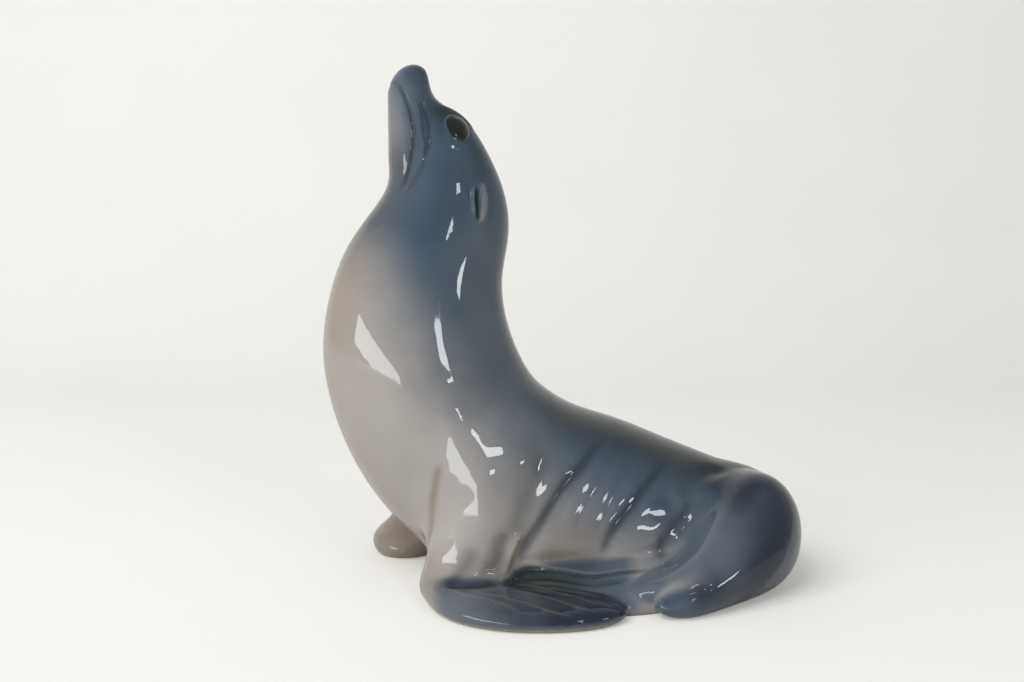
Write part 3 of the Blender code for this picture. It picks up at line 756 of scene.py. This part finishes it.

# %% [markdown]
# ## Painting under the glaze
# The painter sprays metal oxides on the raw piece and wipes and brushes the edges, and the clear glaze goes
# over it. Each colour is kept here as a mask on the vertices, worked out from the same sections and lines
# that made the form. The material mixes the colours later, so a colour changes without painting again.
# Some masks also carry painted shade in creases, slits and undersides, a painted reflection on the chest and
# painted light on the side of the back.

# %% Where every vertex lies on the body
def smooth(low, high, value):
    """0 below low, 1 above high, and 3 t^2 - 2 t^3 between them; low may be above high."""
    t = np.clip((value - low) / (high - low), 0, 1)
    return t * t * (3 - 2 * t)


def body_place(points):
    """The torso's row number at each point, and its place from chest (-1) to back (+1) across the section."""
    s = sections(TORSO, SECTIONS)
    s["half"] = np.maximum(s["half"], LEAST_HALF)
    station, up = np.zeros(len(points)), np.zeros(len(points))
    for part in np.array_split(np.arange(len(points)), len(points) // CHUNK + 1):
        k, share, _ = locate(points[part], s)
        offset = points[part] - between_sections(s, "centre", k, share)
        up[part] = (offset * unit(between_sections(s, "depth", k, share))).sum(1)
        up[part] /= between_sections(s, "half", k, share)[:, 0]
        station[part] = s["station"][k] * (1 - share[:, 0]) + s["station"][k + 1] * share[:, 0]
    return station, up


# Where the sections shrink to the rump's tip, up means little, so from this row on it fades to one value
ROUND_END = (19.5, 21.0)
UP_AT_END = 0.6
# How deep below the skin a vertex must lie to be in the hollow
HOLLOW_DEPTH = 3

x, y, z = forms.T
station, up = body_place(forms)
round_end = smooth(*ROUND_END, station)
up = np.clip(up, -1.3, 1.3) * (1 - round_end) + UP_AT_END * round_end
on_near_blade = smooth(3.5, 0.5, loft_distance(forms, NEAR_BLADE, 2.5))
on_far_blade = smooth(3.5, 0.5, loft_distance(forms, FAR_BLADE, 2.5))
on_hind_blade = smooth(3.5, 0.5, loft_distance(forms, HIND_BLADE, 2.5))
on_hind_limb = smooth(5, 0.5, loft_distance(forms, HIND_LIMB, 2.0))
on_thigh = smooth(5, 0.5, loft_distance(forms, THIGH_FORM, 2.0))
carved = relief(forms, widest=4.5)
inside = seal_distance(forms) < -HOLLOW_DEPTH
print("rows", station.min().round(1), "to", station.max().round(1))

# %% The brushes
def blob(centre, radii):
    """exp(-|offset / radii|^2), a soft round spray."""
    return np.exp(-(((forms - centre) / radii) ** 2).sum(1))


def stroke(guide, width):
    """A line of spray along guide points laid on the skin."""
    return line_mask(forms, laid(guide), width)


def both_sides(guide, width):
    """The stronger of a line of spray and the same line on the other side of the head."""
    return np.maximum(stroke(guide, width), stroke(mirrored(guide), width))


def sprayed(*masks):
    """The strongest of several sprays at every vertex."""
    return np.max(np.broadcast_arrays(*masks), axis=0)


print("a stroke along the chest's crease reaches", int((stroke(CHEST_CREASE, 2.0) > 0.1).sum()), "vertices")

# %% Slate over the head, the back and the flippers
# Torso row, and where the slate spray starts and is full, from chest (-1) to back (+1)
SLATE_EDGE = np.array((
    (0, -2.4, -0.6), (3, -2.4, -0.5), (5, -2.4, -0.3), (6.5, -2.6, -0.3), (7.5, -2.1, -0.45),
    (8.3, -1.8, -0.45), (9, -1.35, -0.15), (10, -1.0, 0.25), (11, -0.8, 0.55), (12, -0.65, 0.7),
    (13, -0.55, 0.75), (15, -0.5, 0.75), (16, -0.65, 0.7), (17, -0.85, 0.6), (18, -0.95, 0.5),
    (19, -1.1, 0.4), (20, -1.2, 0.2), (22, -1.2, 0.2)))
CHIN = (-70, -14, 264)
CHIN_RADII = (14, 18, 34)

start = np.interp(station, *SLATE_EDGE[:, [0, 1]].T)
full = np.interp(station, *SLATE_EDGE[:, [0, 2]].T)
rump_side = smooth(92, 108, x) * smooth(-22, -40, y)
slate = sprayed(
    smooth(0, 1, (up - start) / (full - start)),
    on_hind_limb * smooth(40, 58, x) * (0.82 + 0.15 * smooth(-88, -98, y)),
    0.86 * np.maximum(on_thigh, rump_side) * smooth(46, 60, x),
)
# The thigh's near side is a little paler
slate = np.minimum(slate, 1 - 0.13 * smooth(86, 96, x) * smooth(-30, -45, y) * smooth(-96, -86, y))
slate = sprayed(
    slate,
    0.9 * on_hind_blade * smooth(78, 60, x),
    0.8 * on_near_blade * smooth(-52, -34, x),
    0.9 * on_far_blade * smooth(30, 52, y),
    0.35 * on_near_blade,
    0.45 * stroke(FLANK_RIM, 5),
)
# The spray is thin on the chin, and the side of the back behind the neck is painted paler, as painted light
# where the lamps leave it in shade
slate = slate * (1 - 0.3 * blob(CHIN, CHIN_RADII))
slate = slate * (1 - 0.13 * smooth(-0.1, 0.6, up) * smooth(7.5, 9, station) * smooth(16, 13.5, station))
print("slate covers", slate.mean().round(2), "of the vertices")

# %% Dusk on the back and the brow, and painted shade in a furrow, slits and undersides
FLANK_FOOT = ((10, -58, 22), (22, -59, 21), (36, -60, 20), (50, -61, 20))
NECK_SIDE = ((-24, -14, 262), (-20, -16, 245), (-15, -18, 228))
BROWS = ((-37, -13, 268), (-40, 4, 270))
BROW_RADII = (11, 12, 11)

dusk = sprayed(
    # the back, then the nape
    1.0 * smooth(0.5, 1.0, up) * smooth(11.5, 14, station) * smooth(22, 19.5, station),
    0.6 * smooth(0.7, 0.95, up) * smooth(8.5, 10, station) * smooth(15, 13, station),
    0.35 * stroke(FLANK_FOOT, 7),
    *(0.9 * blob(brow, BROW_RADII) for brow in BROWS),
    0.5 * both_sides(NECK_SIDE, 9),
    # painted shade in the thigh's furrow, and a painted shadow line under the flank's overhanging rim
    0.35 * stroke(THIGH, 5),
    0.8 * stroke(FLANK_RIM, 1.3),
    0.4 * smooth(118, 138, x) * smooth(-0.2, 0.6, up),
    # painted shade inside the ear slits
    0.85 * both_sides(EAR_SLIT, 1.3),
    # painted shade: under the jaw on the throat, under the hind limb and on the far arm
    0.3 * smooth(-0.3, -0.9, up) * smooth(4.5, 6.5, station) * smooth(9.5, 8, station) * smooth(268, 240, z),
    0.4 * on_hind_limb * smooth(8, 3, z) * smooth(95, 75, x),
    0.2 * smooth(-30, -50, x) * smooth(-30, 10, y) * smooth(62, 16, z),
    *(0.5 * stroke(fold, 2.6) for fold in (FOLD_2, FOLD_3, FOLD_4)),
    0.3 * stroke(FOLD_1, 6),
    0.45 * both_sides(MOUTH, 1.0),
)
print("dusk covers", dusk.mean().round(2), "of the vertices")

# %% Navy on the rump, the blades and the nose
RUMP_BRUSH = np.array(((130, -25, 56), (138, -35, 48), (144, -39, 46), (149, -46, 42), (152, -52, 35),
                       (151, -58, 28), (147, -64, 20), (141, -68, 16), (133, -72, 8)), float)
LIMB_TOP = ((140, -68, 18), (126, -78, 13), (112, -88, 12), (100, -93, 12), (88, -98, 10))
LAST_RIB = ((83, -43, 54), (83, -48, 46), (79, -52, 39))
NOSE_SIDE = (-50, -20, 262)
NOSE_RADII = (6, 9, 16)

# The brush left an edge on the rump that lies in one plane, which the edge's own points give
rump_middle = RUMP_BRUSH.mean(0)
brush_normal = np.linalg.svd(RUMP_BRUSH - rump_middle)[2][2]
brush_normal = brush_normal * np.sign(-brush_normal[0])
inward = (forms - rump_middle) @ brush_normal
brushed = smooth(-0.9, 0.9, inward) * (0.15 + 0.85 * smooth(28, 6, inward))
throat_side = smooth(-0.55, -0.15, up) * smooth(0.4, 0.1, up)
navy = sprayed(
    brushed * smooth(106, 128, x) * smooth(10, -25, y),
    0.95 * on_near_blade * smooth(-30, 5, x) * smooth(2.2, 5, z) * (0.75 + 0.25 * smooth(5, 25, x)),
    0.75 * stroke(LIMB_TOP, 11),
    0.85 * on_far_blade * smooth(38, 70, y) * smooth(3.5, 8, z),
    0.9 * stroke(ARM_FOOT, 6.5),
    # painted shade along the hollows of the near arm
    *(0.22 * stroke(hollow_line, 5.0) for hollow_line in ARM_HOLLOWS),
    0.35 * smooth(278, 292, z) * smooth(-0.9, -0.2, up),
    0.35 * blob(NOSE_SIDE, NOSE_RADII),
    0.22 * throat_side * smooth(9.3, 8.5, station) * smooth(6, 7, station),
    0.35 * stroke(LAST_RIB, 6),
    *(0.7 * stroke(fold, 1.8) for fold in (FOLD_2, FOLD_3)),
)
print("navy covers", navy.mean().round(2), "of the vertices")

# %% Green in the hollows and warm clay tones, partly painted shade and a painted reflection
EYE_CORNER = (-40, -16, 270)
EYE_CORNER_RADII = (9, 9, 8)
WARM_RIB = ((74, -45, 52), (66, -52, 42), (61, -55, 33))

green = sprayed(
    # green glaze in the hollow between the flank and the hind blade and under the flank's rim, painted dark
    # as painted shade
    0.95 * on_hind_blade * smooth(64, 24, x) * smooth(18, 14, z),
    0.6 * stroke(UNDER_RIM, 3),
    0.45 * blob(EYE_CORNER, EYE_CORNER_RADII),
)
warm = sprayed(
    # painted shade and a painted reflection of a warm wall along the chest's and the belly's edge, and
    # painted shade on the far arm
    0.5 * smooth(-0.3, -0.95, up) * smooth(7.6, 9.2, station) * smooth(13.0, 9.4, station),
    0.35 * smooth(-0.75, -1.05, up) * smooth(8.0, 9.0, station) * smooth(17, 15, station),
    0.6 * smooth(-30, -50, x) * smooth(-30, 10, y) * smooth(62, 16, z),
    # painted shade in the crease between the chest and the near arm
    0.7 * stroke(CHEST_CREASE, 2.0),
    0.55 * stroke(WARM_RIB, 3.5),
    # the flank behind the arm
    0.5 * smooth(62, 26, z) * smooth(13, 24, x) * smooth(58, 44, x) * smooth(-30, -48, y),
    0.7 * stroke(LIMB_CREASE, 2),
    0.25 * smooth(0.2, -1.5, inward) * smooth(118, 132, x),
    0.55 * both_sides(EAR_RIM, 1.2),
    # painted shade under the hind limb; the throat and the front foot's heel
    0.5 * on_hind_limb * smooth(9, 4, z) * smooth(95, 75, x),
    0.4 * smooth(-0.2, -0.7, up) * smooth(4.5, 6.5, station) * smooth(9.5, 8, station),
    0.5 * smooth(14, 4, z) * smooth(-20, -44, x),
)
print("green covers", green.mean().round(3), "and warm", warm.mean().round(3), "of the vertices")

# %% Rims wiped pale, and glaze pooled dark
# Relief of these heights, in millimetres, is wiped fully pale or filled fully dark
WIPED_HEIGHT = 1.2
POOLED_DEPTH = 1.5

rim = sprayed(
    on_near_blade * smooth(2.6, 0.9, z) + on_far_blade * smooth(2.6, 0.9, z),
    0.35 * on_hind_blade * smooth(6, 3.0, z) * smooth(48, 62, x),
    0.9 * both_sides(EAR_RIM, 1.8),
    0.7 * both_sides(EAR_FRONT, 1.3),
    0.3 * on_hind_limb * smooth(3, 1, z) * smooth(124, 84, x),
    0.35 * np.clip(carved / WIPED_HEIGHT, 0, 1) * smooth(120, 90, z),
    0.75 * stroke(ARM_RIDGE, 2.5),
    *(0.22 * stroke(ray, 0.9) for ray in FINGERS + WEBS),
)
rim = np.clip(rim, 0, 1)
pool = np.clip(-carved / POOLED_DEPTH, 0, 1)
pool = pool * (1 - 0.8 * stroke(CHEST_CREASE, 5)) * (1 - 0.6 * stroke(ARM_HOLLOWS[0], 6))
print("wiped", rim.mean().round(3), "and pooled", pool.mean().round(3), "of the vertices")

# %% The eyes, and every mask kept on the mesh
radius = np.min([eye_radius(forms, *eye) for eye in eyes], axis=0)
masks = dict(
    slate=slate, dusk=dusk, navy=navy, green=green, warm=warm, rim=rim, pool=pool,
    eye=smooth(1.0, 0.9, radius),
    lid=smooth(0.93, 1.0, radius) * smooth(1.2, 1.06, radius),
    iris=smooth(0.55, 0.72, radius) * smooth(0.93, 0.85, radius),
)
for name, mask in masks.items():
    layer = seal.data.attributes.new(name, "FLOAT", "POINT")
    layer.data.foreach_set("value", mask.astype(np.float32))
    print(f"{name:6} mean {mask.mean():.3f}")

# %% [markdown]
# ## Shared effects as node groups
# Airbrushed colour has cloudy edges, fired clay has specks, and both glaze and bare clay are never quite
# smooth. Each of these effects serves more than one material, so each is a node group with named values.

# %% A short way to write nodes
def new_group(name, inputs, outputs):
    """An empty shader group with these sockets, as its tree, its input node and its output node."""
    tree = bpy.data.node_groups.new(name, "ShaderNodeTree")
    for way, sockets in (("INPUT", inputs), ("OUTPUT", outputs)):
        for label, kind in sockets:
            tree.interface.new_socket(label, in_out=way, socket_type="NodeSocket" + kind)
    return tree, tree.nodes.new("NodeGroupInput"), tree.nodes.new("NodeGroupOutput")


def add(tree, kind, sockets=None, **settings):
    """A node with its settings; sockets maps an input's name or number to a value or another's output."""
    node = tree.nodes.new(kind if kind.startswith("ShaderNode") else "ShaderNode" + kind)
    for key, value in settings.items():
        setattr(node, key, value)
    for key, value in (sockets or {}).items():
        if isinstance(value, bpy.types.NodeSocket):
            tree.links.new(value, node.inputs[key])
        else:
            node.inputs[key].default_value = value
    return node


def sums(tree, operation, first, second=0.0, clamp=False):
    """The result of one Math node."""
    return add(tree, "Math", {0: first, 1: second}, operation=operation, use_clamp=clamp).outputs[0]


def noise(tree, scale, detail=2.0):
    """Noise from 0 to 1 on the object's own coordinates, with scale as its clouds per metre."""
    place = add(tree, "TexCoord").outputs["Object"]
    return add(tree, "TexNoise", {"Vector": place, "Scale": scale, "Detail": detail}).outputs["Fac"]


print("node helpers:", [helper.__name__ for helper in (new_group, add, sums, noise)])

# %% The airbrush group
# The spray's own dots are this fine
DOTS_PER_METRE = 1800.0
airbrush, given, result = new_group(
    "airbrush",
    [(label, "Float") for label in ("Mask", "Clouds per metre", "Drift", "Grain")],
    [("Mask", "Float")],
)
# mask + mask (1 - mask) (drift x clouds + grain x dots), which leaves bare and full places as they are
mask = given.outputs["Mask"]
edge = sums(airbrush, "MULTIPLY", mask, sums(airbrush, "SUBTRACT", 1.0, mask))
cloud = sums(airbrush, "SUBTRACT", noise(airbrush, given.outputs["Clouds per metre"], 3.0), 0.5)
dots = sums(airbrush, "SUBTRACT", noise(airbrush, DOTS_PER_METRE, 1.0), 0.5)
change = sums(airbrush, "ADD", sums(airbrush, "MULTIPLY", cloud, given.outputs["Drift"]),
              sums(airbrush, "MULTIPLY", dots, given.outputs["Grain"]))
sprayed_mask = sums(airbrush, "ADD", mask, sums(airbrush, "MULTIPLY", edge, change), True)
airbrush.links.new(sprayed_mask, result.inputs["Mask"])
print("airbrush has", len(airbrush.nodes), "nodes")

# %% The speck group
specks, given, result = new_group(
    "specks",
    [(label, "Float") for label in ("Specks per metre", "Size", "Share")],
    [("Mask", "Float")],
)
# A cell's middle is a dot, and only a share of the cells, by their random red, has one
place = add(specks, "TexCoord").outputs["Object"]
cells = add(specks, "TexVoronoi", {"Vector": place, "Scale": given.outputs["Specks per metre"]})
dot = sums(specks, "LESS_THAN", cells.outputs["Distance"], given.outputs["Size"])
chance = add(specks, "SeparateColor", {"Color": cells.outputs["Color"]}).outputs["Red"]
chosen = sums(specks, "LESS_THAN", chance, given.outputs["Share"])
specks.links.new(sums(specks, "MULTIPLY", dot, chosen), result.inputs["Mask"])
print("specks has", len(specks.nodes), "nodes")

# %% The uneven surface group
uneven, given, result = new_group(
    "uneven_surface",
    [(label, "Float") for label in ("Waves per metre", "Wave height", "Grains per metre", "Grain height")],
    [("Normal", "Vector")],
)
waves = noise(uneven, given.outputs["Waves per metre"], 1.0)
waves = sums(uneven, "MULTIPLY", waves, given.outputs["Wave height"])
grains = noise(uneven, given.outputs["Grains per metre"], 2.0)
grains = sums(uneven, "MULTIPLY", grains, given.outputs["Grain height"])
bump = add(uneven, "Bump", {"Height": sums(uneven, "ADD", waves, grains), "Distance": 1.0, "Strength": 1.0})
uneven.links.new(bump.outputs["Normal"], result.inputs["Normal"])
print("groups:", [g.name for g in bpy.data.node_groups])

# %% [markdown]
# ## The painted glaze
# Underglaze colour is matt and lies below a layer of clear glass. A Principled shader has the same build:
# a soft base with the paint, and a hard clear coat on top that carries the window reflections.

# %% Colours as they look fired
def colour(red, green, blue):
    """An sRGB colour of 0 to 255 as linear light."""
    c = np.array([red, green, blue]) / 255
    return (*np.where(c <= 0.04045, c / 12.92, ((c + 0.055) / 1.055) ** 2.4), 1.0)


CREAM = colour(162, 155, 149)
# Each mask's colour, and its airbrush's clouds per metre; the sharp ones are painted with a fine brush
# Besides the paint itself, these colours also lay the painted shade, the painted reflection on the chest and
# the painted light on the side of the back
PAINTS = (
    ("warm", colour(140, 120, 96), 30.0),
    ("slate", colour(64, 80, 95), 45.0),
    ("dusk", colour(28, 36, 40), 60.0),
    ("navy", colour(13, 27, 46), 70.0),
    ("green", colour(22, 36, 32), 90.0),
    ("rim", colour(150, 140, 126), 120.0),
    ("pool", colour(40, 50, 58), 80.0),
    ("lid", colour(58, 70, 78), 80.0),
    ("eye", colour(10, 14, 13), 80.0),
    ("iris", colour(15, 22, 18), 80.0),
)
SHARP = ("eye", "lid", "iris")
# Glaze in a pool is clear, so it darkens only this much
POOL_STRENGTH = 0.55


def new_material(name):
    """A material with its node tree and its Principled shader."""
    material = bpy.data.materials.new(name)
    material.use_nodes = True
    return material, material.node_tree, material.node_tree.nodes["Principled BSDF"]


def grouped(tree, group, values):
    """The output of a node group that is placed with these values."""
    return add(tree, "Group", values, node_tree=group).outputs[0]


def mixed(tree, share, under, over, blend="MIX"):
    """Two colours mixed: the node's inputs 6 and 7 are its colours A and B, and output 2 is the colour."""
    return add(tree, "Mix", {0: share, 6: under, 7: over}, data_type="RGBA", blend_type=blend).outputs[2]


print(len(PAINTS), "paints over cream", np.round(CREAM[:3], 3))

# %% Mix the paints over the clay
glaze, tree, shader = new_material("painted_glaze")
paint = add(tree, "RGB").outputs[0]
paint.default_value = CREAM
for name, tone, clouds in PAINTS:
    mask = add(tree, "Attribute", attribute_name=name, attribute_type="GEOMETRY").outputs["Fac"]
    if name not in SHARP:
        brush = {"Mask": mask, "Clouds per metre": clouds, "Drift": 1.6, "Grain": 0.5}
        mask = grouped(tree, airbrush, brush)
    strength = POOL_STRENGTH if name == "pool" else 1.0
    paint = mixed(tree, sums(tree, "MULTIPLY", mask, strength), paint, tone)
print("paints mixed in", len(tree.nodes), "nodes")

# %% Mottle the paint, add kiln dust and coat it all
# The mottle multiplies the paint by 0.89 to 1.11
mottle = sums(tree, "ADD", sums(tree, "MULTIPLY", noise(tree, 38.0, 4.0), 0.22), 0.89)
grey = add(tree, "CombineColor", {channel: mottle for channel in range(3)}).outputs[0]
paint = mixed(tree, 1.0, paint, grey, "MULTIPLY")
dust = grouped(tree, specks, {"Specks per metre": 170.0, "Size": 0.07, "Share": 0.10})
paint = mixed(tree, sums(tree, "MULTIPLY", dust, 0.35), paint, colour(60, 58, 54))
tree.links.new(paint, shader.inputs["Base Color"])
finish = {
    "Roughness": 0.45, "Specular IOR Level": 0.1, "Coat Weight": 1.0, "Coat Roughness": 0.03, "Coat IOR": 1.5,
}
for socket, value in finish.items():
    shader.inputs[socket].default_value = value
ripples = {
    "Waves per metre": 55.0, "Wave height": 0.00008, "Grains per metre": 420.0, "Grain height": 0.000004,
}
tree.links.new(grouped(tree, uneven, ripples), shader.inputs["Normal"])
print("glaze has", len(tree.nodes), "nodes")

# %% [markdown]
# ## The bare clay
# The foot is wiped free of glaze so that the piece doesn't stick to the kiln shelf, and no glaze gets into
# the hollow. Bare fired clay is matt and slightly gritty. It uses the same groups with other values.

# %% Biscuit clay on the foot and in the hollow
biscuit, tree, shader = new_material("biscuit_clay")
stain = grouped(
    tree, airbrush, {"Mask": noise(tree, 25.0, 4.0), "Clouds per metre": 140.0, "Drift": 1.5, "Grain": 0.8},
)
clay = mixed(tree, stain, colour(206, 198, 184), colour(178, 166, 148))
grog = grouped(tree, specks, {"Specks per metre": 420.0, "Size": 0.12, "Share": 0.25})
clay = mixed(tree, grog, clay, colour(120, 104, 84))
tree.links.new(clay, shader.inputs["Base Color"])
tree.links.new(sums(tree, "ADD", sums(tree, "MULTIPLY", stain, 0.2), 0.7), shader.inputs["Roughness"])
grit = {
    "Waves per metre": 300.0, "Wave height": 0.00003, "Grains per metre": 1500.0, "Grain height": 0.00004,
}
tree.links.new(grouped(tree, uneven, grit), shader.inputs["Normal"])
print("biscuit has", len(tree.nodes), "nodes")

# %% Glaze on the skin, bare clay below and inside
# A vertex this low, in millimetres, is on the ground foot
GROUND = 0.05
seal.data.materials.clear()
seal.data.materials.append(glaze)
seal.data.materials.append(biscuit)
corners = np.empty(len(seal.data.loops), np.int32)
seal.data.loops.foreach_get("vertex_index", corners)
first_corner = np.empty(len(seal.data.polygons), np.int32)
seal.data.polygons.foreach_get("loop_start", first_corner)
bare = np.minimum.reduceat((inside | (z < GROUND))[corners], first_corner)
seal.data.polygons.foreach_set("material_index", bare.astype(np.int32))
flat = np.minimum.reduceat((z < GROUND)[corners], first_corner)
seal.data.polygons.foreach_set("use_smooth", ~flat)
seal.data.update()
print("bare faces:", int(bare.sum()))

# %% [markdown]
# ## The studio
# A plain pale sweep of paper is floor and backdrop in one, so no corner line crosses the picture. The glaze
# mirrors the lamps, so their shapes matter as much as their light: tall windows give long streaks.

# %% The paper sweep
# Squares across the sweep, which is flat that way
ACROSS = 8


def sweep(half_width, front, back, height, bend, steps):
    """A profile carried along x: flat floor, a quarter circle of radius bend, then an upright wall."""
    turn = np.linspace(0, np.pi / 2, steps)
    arc = np.stack([back - bend + bend * np.sin(turn), bend - bend * np.cos(turn)], 1)
    profile = np.concatenate([[(front, 0)], arc, [(back, height)]])
    across = np.linspace(-half_width, half_width, ACROSS + 1)
    grid = np.stack(np.broadcast_arrays(across[None, :], profile[:, :1], profile[:, 1:]), -1)
    i, j = np.meshgrid(np.arange(len(profile) - 1), np.arange(ACROSS), indexing="ij")
    near, far = i * (ACROSS + 1) + j, (i + 1) * (ACROSS + 1) + j
    quads = np.stack([near, near + 1, far + 1, far], -1)
    return grid.reshape(-1, 3) / MM, quads.reshape(-1, 4).tolist()


sweep_grid = sweep(half_width=3.0, front=-2.5, back=1.6, height=3.2, bend=0.9, steps=32)
paper = mesh_object("paper_sweep", *sweep_grid)
paper.data.shade_smooth()
print("paper has", len(paper.data.polygons), "faces")

# %% The paper's own colour
# The paper glows this much for the camera alone, which lifts the background and lights nothing
GLOW = 0.26
paper_finish, tree, shader = new_material("pale_paper")
shade = mixed(tree, noise(tree, 4.0, 2.0), colour(230, 227, 221), colour(235, 232, 227))
tree.links.new(shade, shader.inputs["Base Color"])
tree.links.new(shade, shader.inputs["Emission Color"])
seen = add(tree, "LightPath").outputs["Is Camera Ray"]
tree.links.new(sums(tree, "MULTIPLY", seen, GLOW), shader.inputs["Emission Strength"])
shader.inputs["Roughness"].default_value = 0.9
shader.inputs["Specular IOR Level"].default_value = 0.1
paper.data.materials.append(paper_finish)
print("paper material has", len(tree.nodes), "nodes")

# %% Windows and fill
AIM = Vector((-0.03, 0, 0.15))
DAYLIGHT = (0.95, 0.98, 1.0)


def window(name, azimuth, elevation, distance, size, watts, tilt=0.0):
    """An area lamp aimed at the figure from a direction: azimuth 0 is in front, and right is positive."""
    lamp = bpy.data.lights.new(name, "AREA")
    lamp.shape = "RECTANGLE"
    lamp.size, lamp.size_y = size
    lamp.energy = watts
    lamp.color = DAYLIGHT
    obj = bpy.data.objects.new(name, lamp)
    bpy.context.scene.collection.objects.link(obj)
    a, e = np.radians([azimuth, elevation])
    away = Vector((np.sin(a) * np.cos(e), -np.cos(a) * np.cos(e), np.sin(e)))
    obj.location = AIM + away * distance
    obj.rotation_euler = (away.to_track_quat("Z", "Y") @ Quaternion((0, 0, 1), np.radians(tilt))).to_euler()
    obj.visible_camera = False
    return obj


window("left_window", -40, 1, 2.0, (1.8, 0.42), 16.0, tilt=-18)
window("right_window", 32, 13, 2.0, (0.24, 0.14), 1.3)
window("high_window", 34, 31, 2.0, (0.26, 0.24), 2.3)
window("side_window", 60, 9, 2.0, (0.24, 0.12), 1.2)
soft_box = window("soft_box", -48, 48, 2.4, (1.8, 1.8), 36.0)
# The soft box fills the shadows, and its own reflection is kept out of the glaze
soft_box.visible_glossy = False
print(len(bpy.data.lights), "lamps")

# %% The room's own light
world = bpy.data.worlds.new("room")
bpy.context.scene.world = world
world.use_nodes = True
background = world.node_tree.nodes["Background"]
background.inputs["Color"].default_value = colour(236, 240, 244)
background.inputs["Strength"].default_value = 0.42
bpy.context.scene.view_settings.view_transform = "Standard"
print("room light", round(background.inputs["Strength"].default_value, 2))

# %% [markdown]
# ## The camera
# The camera has the photograph's own view: in front of the near side, level with the neck and looking a
# little down. Its place is in the maker's frame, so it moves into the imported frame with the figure.

# %% The camera
CAMERA_PLACE = (0, -0.625, 0.201)
LOOKS_DOWN = 5.87
SENSOR_WIDTH = 36
FOCAL_LENGTH = 36.91

camera = bpy.data.objects.new("camera", bpy.data.cameras.new("camera"))
bpy.context.scene.collection.objects.link(camera)
bpy.context.scene.camera = camera
camera.data.sensor_width = SENSOR_WIDTH
camera.data.lens = FOCAL_LENGTH
camera.location = np.array(CAMERA_PLACE) + SHIFT
camera.rotation_euler = (np.radians(90 - LOOKS_DOWN), 0, 0)
print("camera at", np.round(camera.location, 3).tolist())
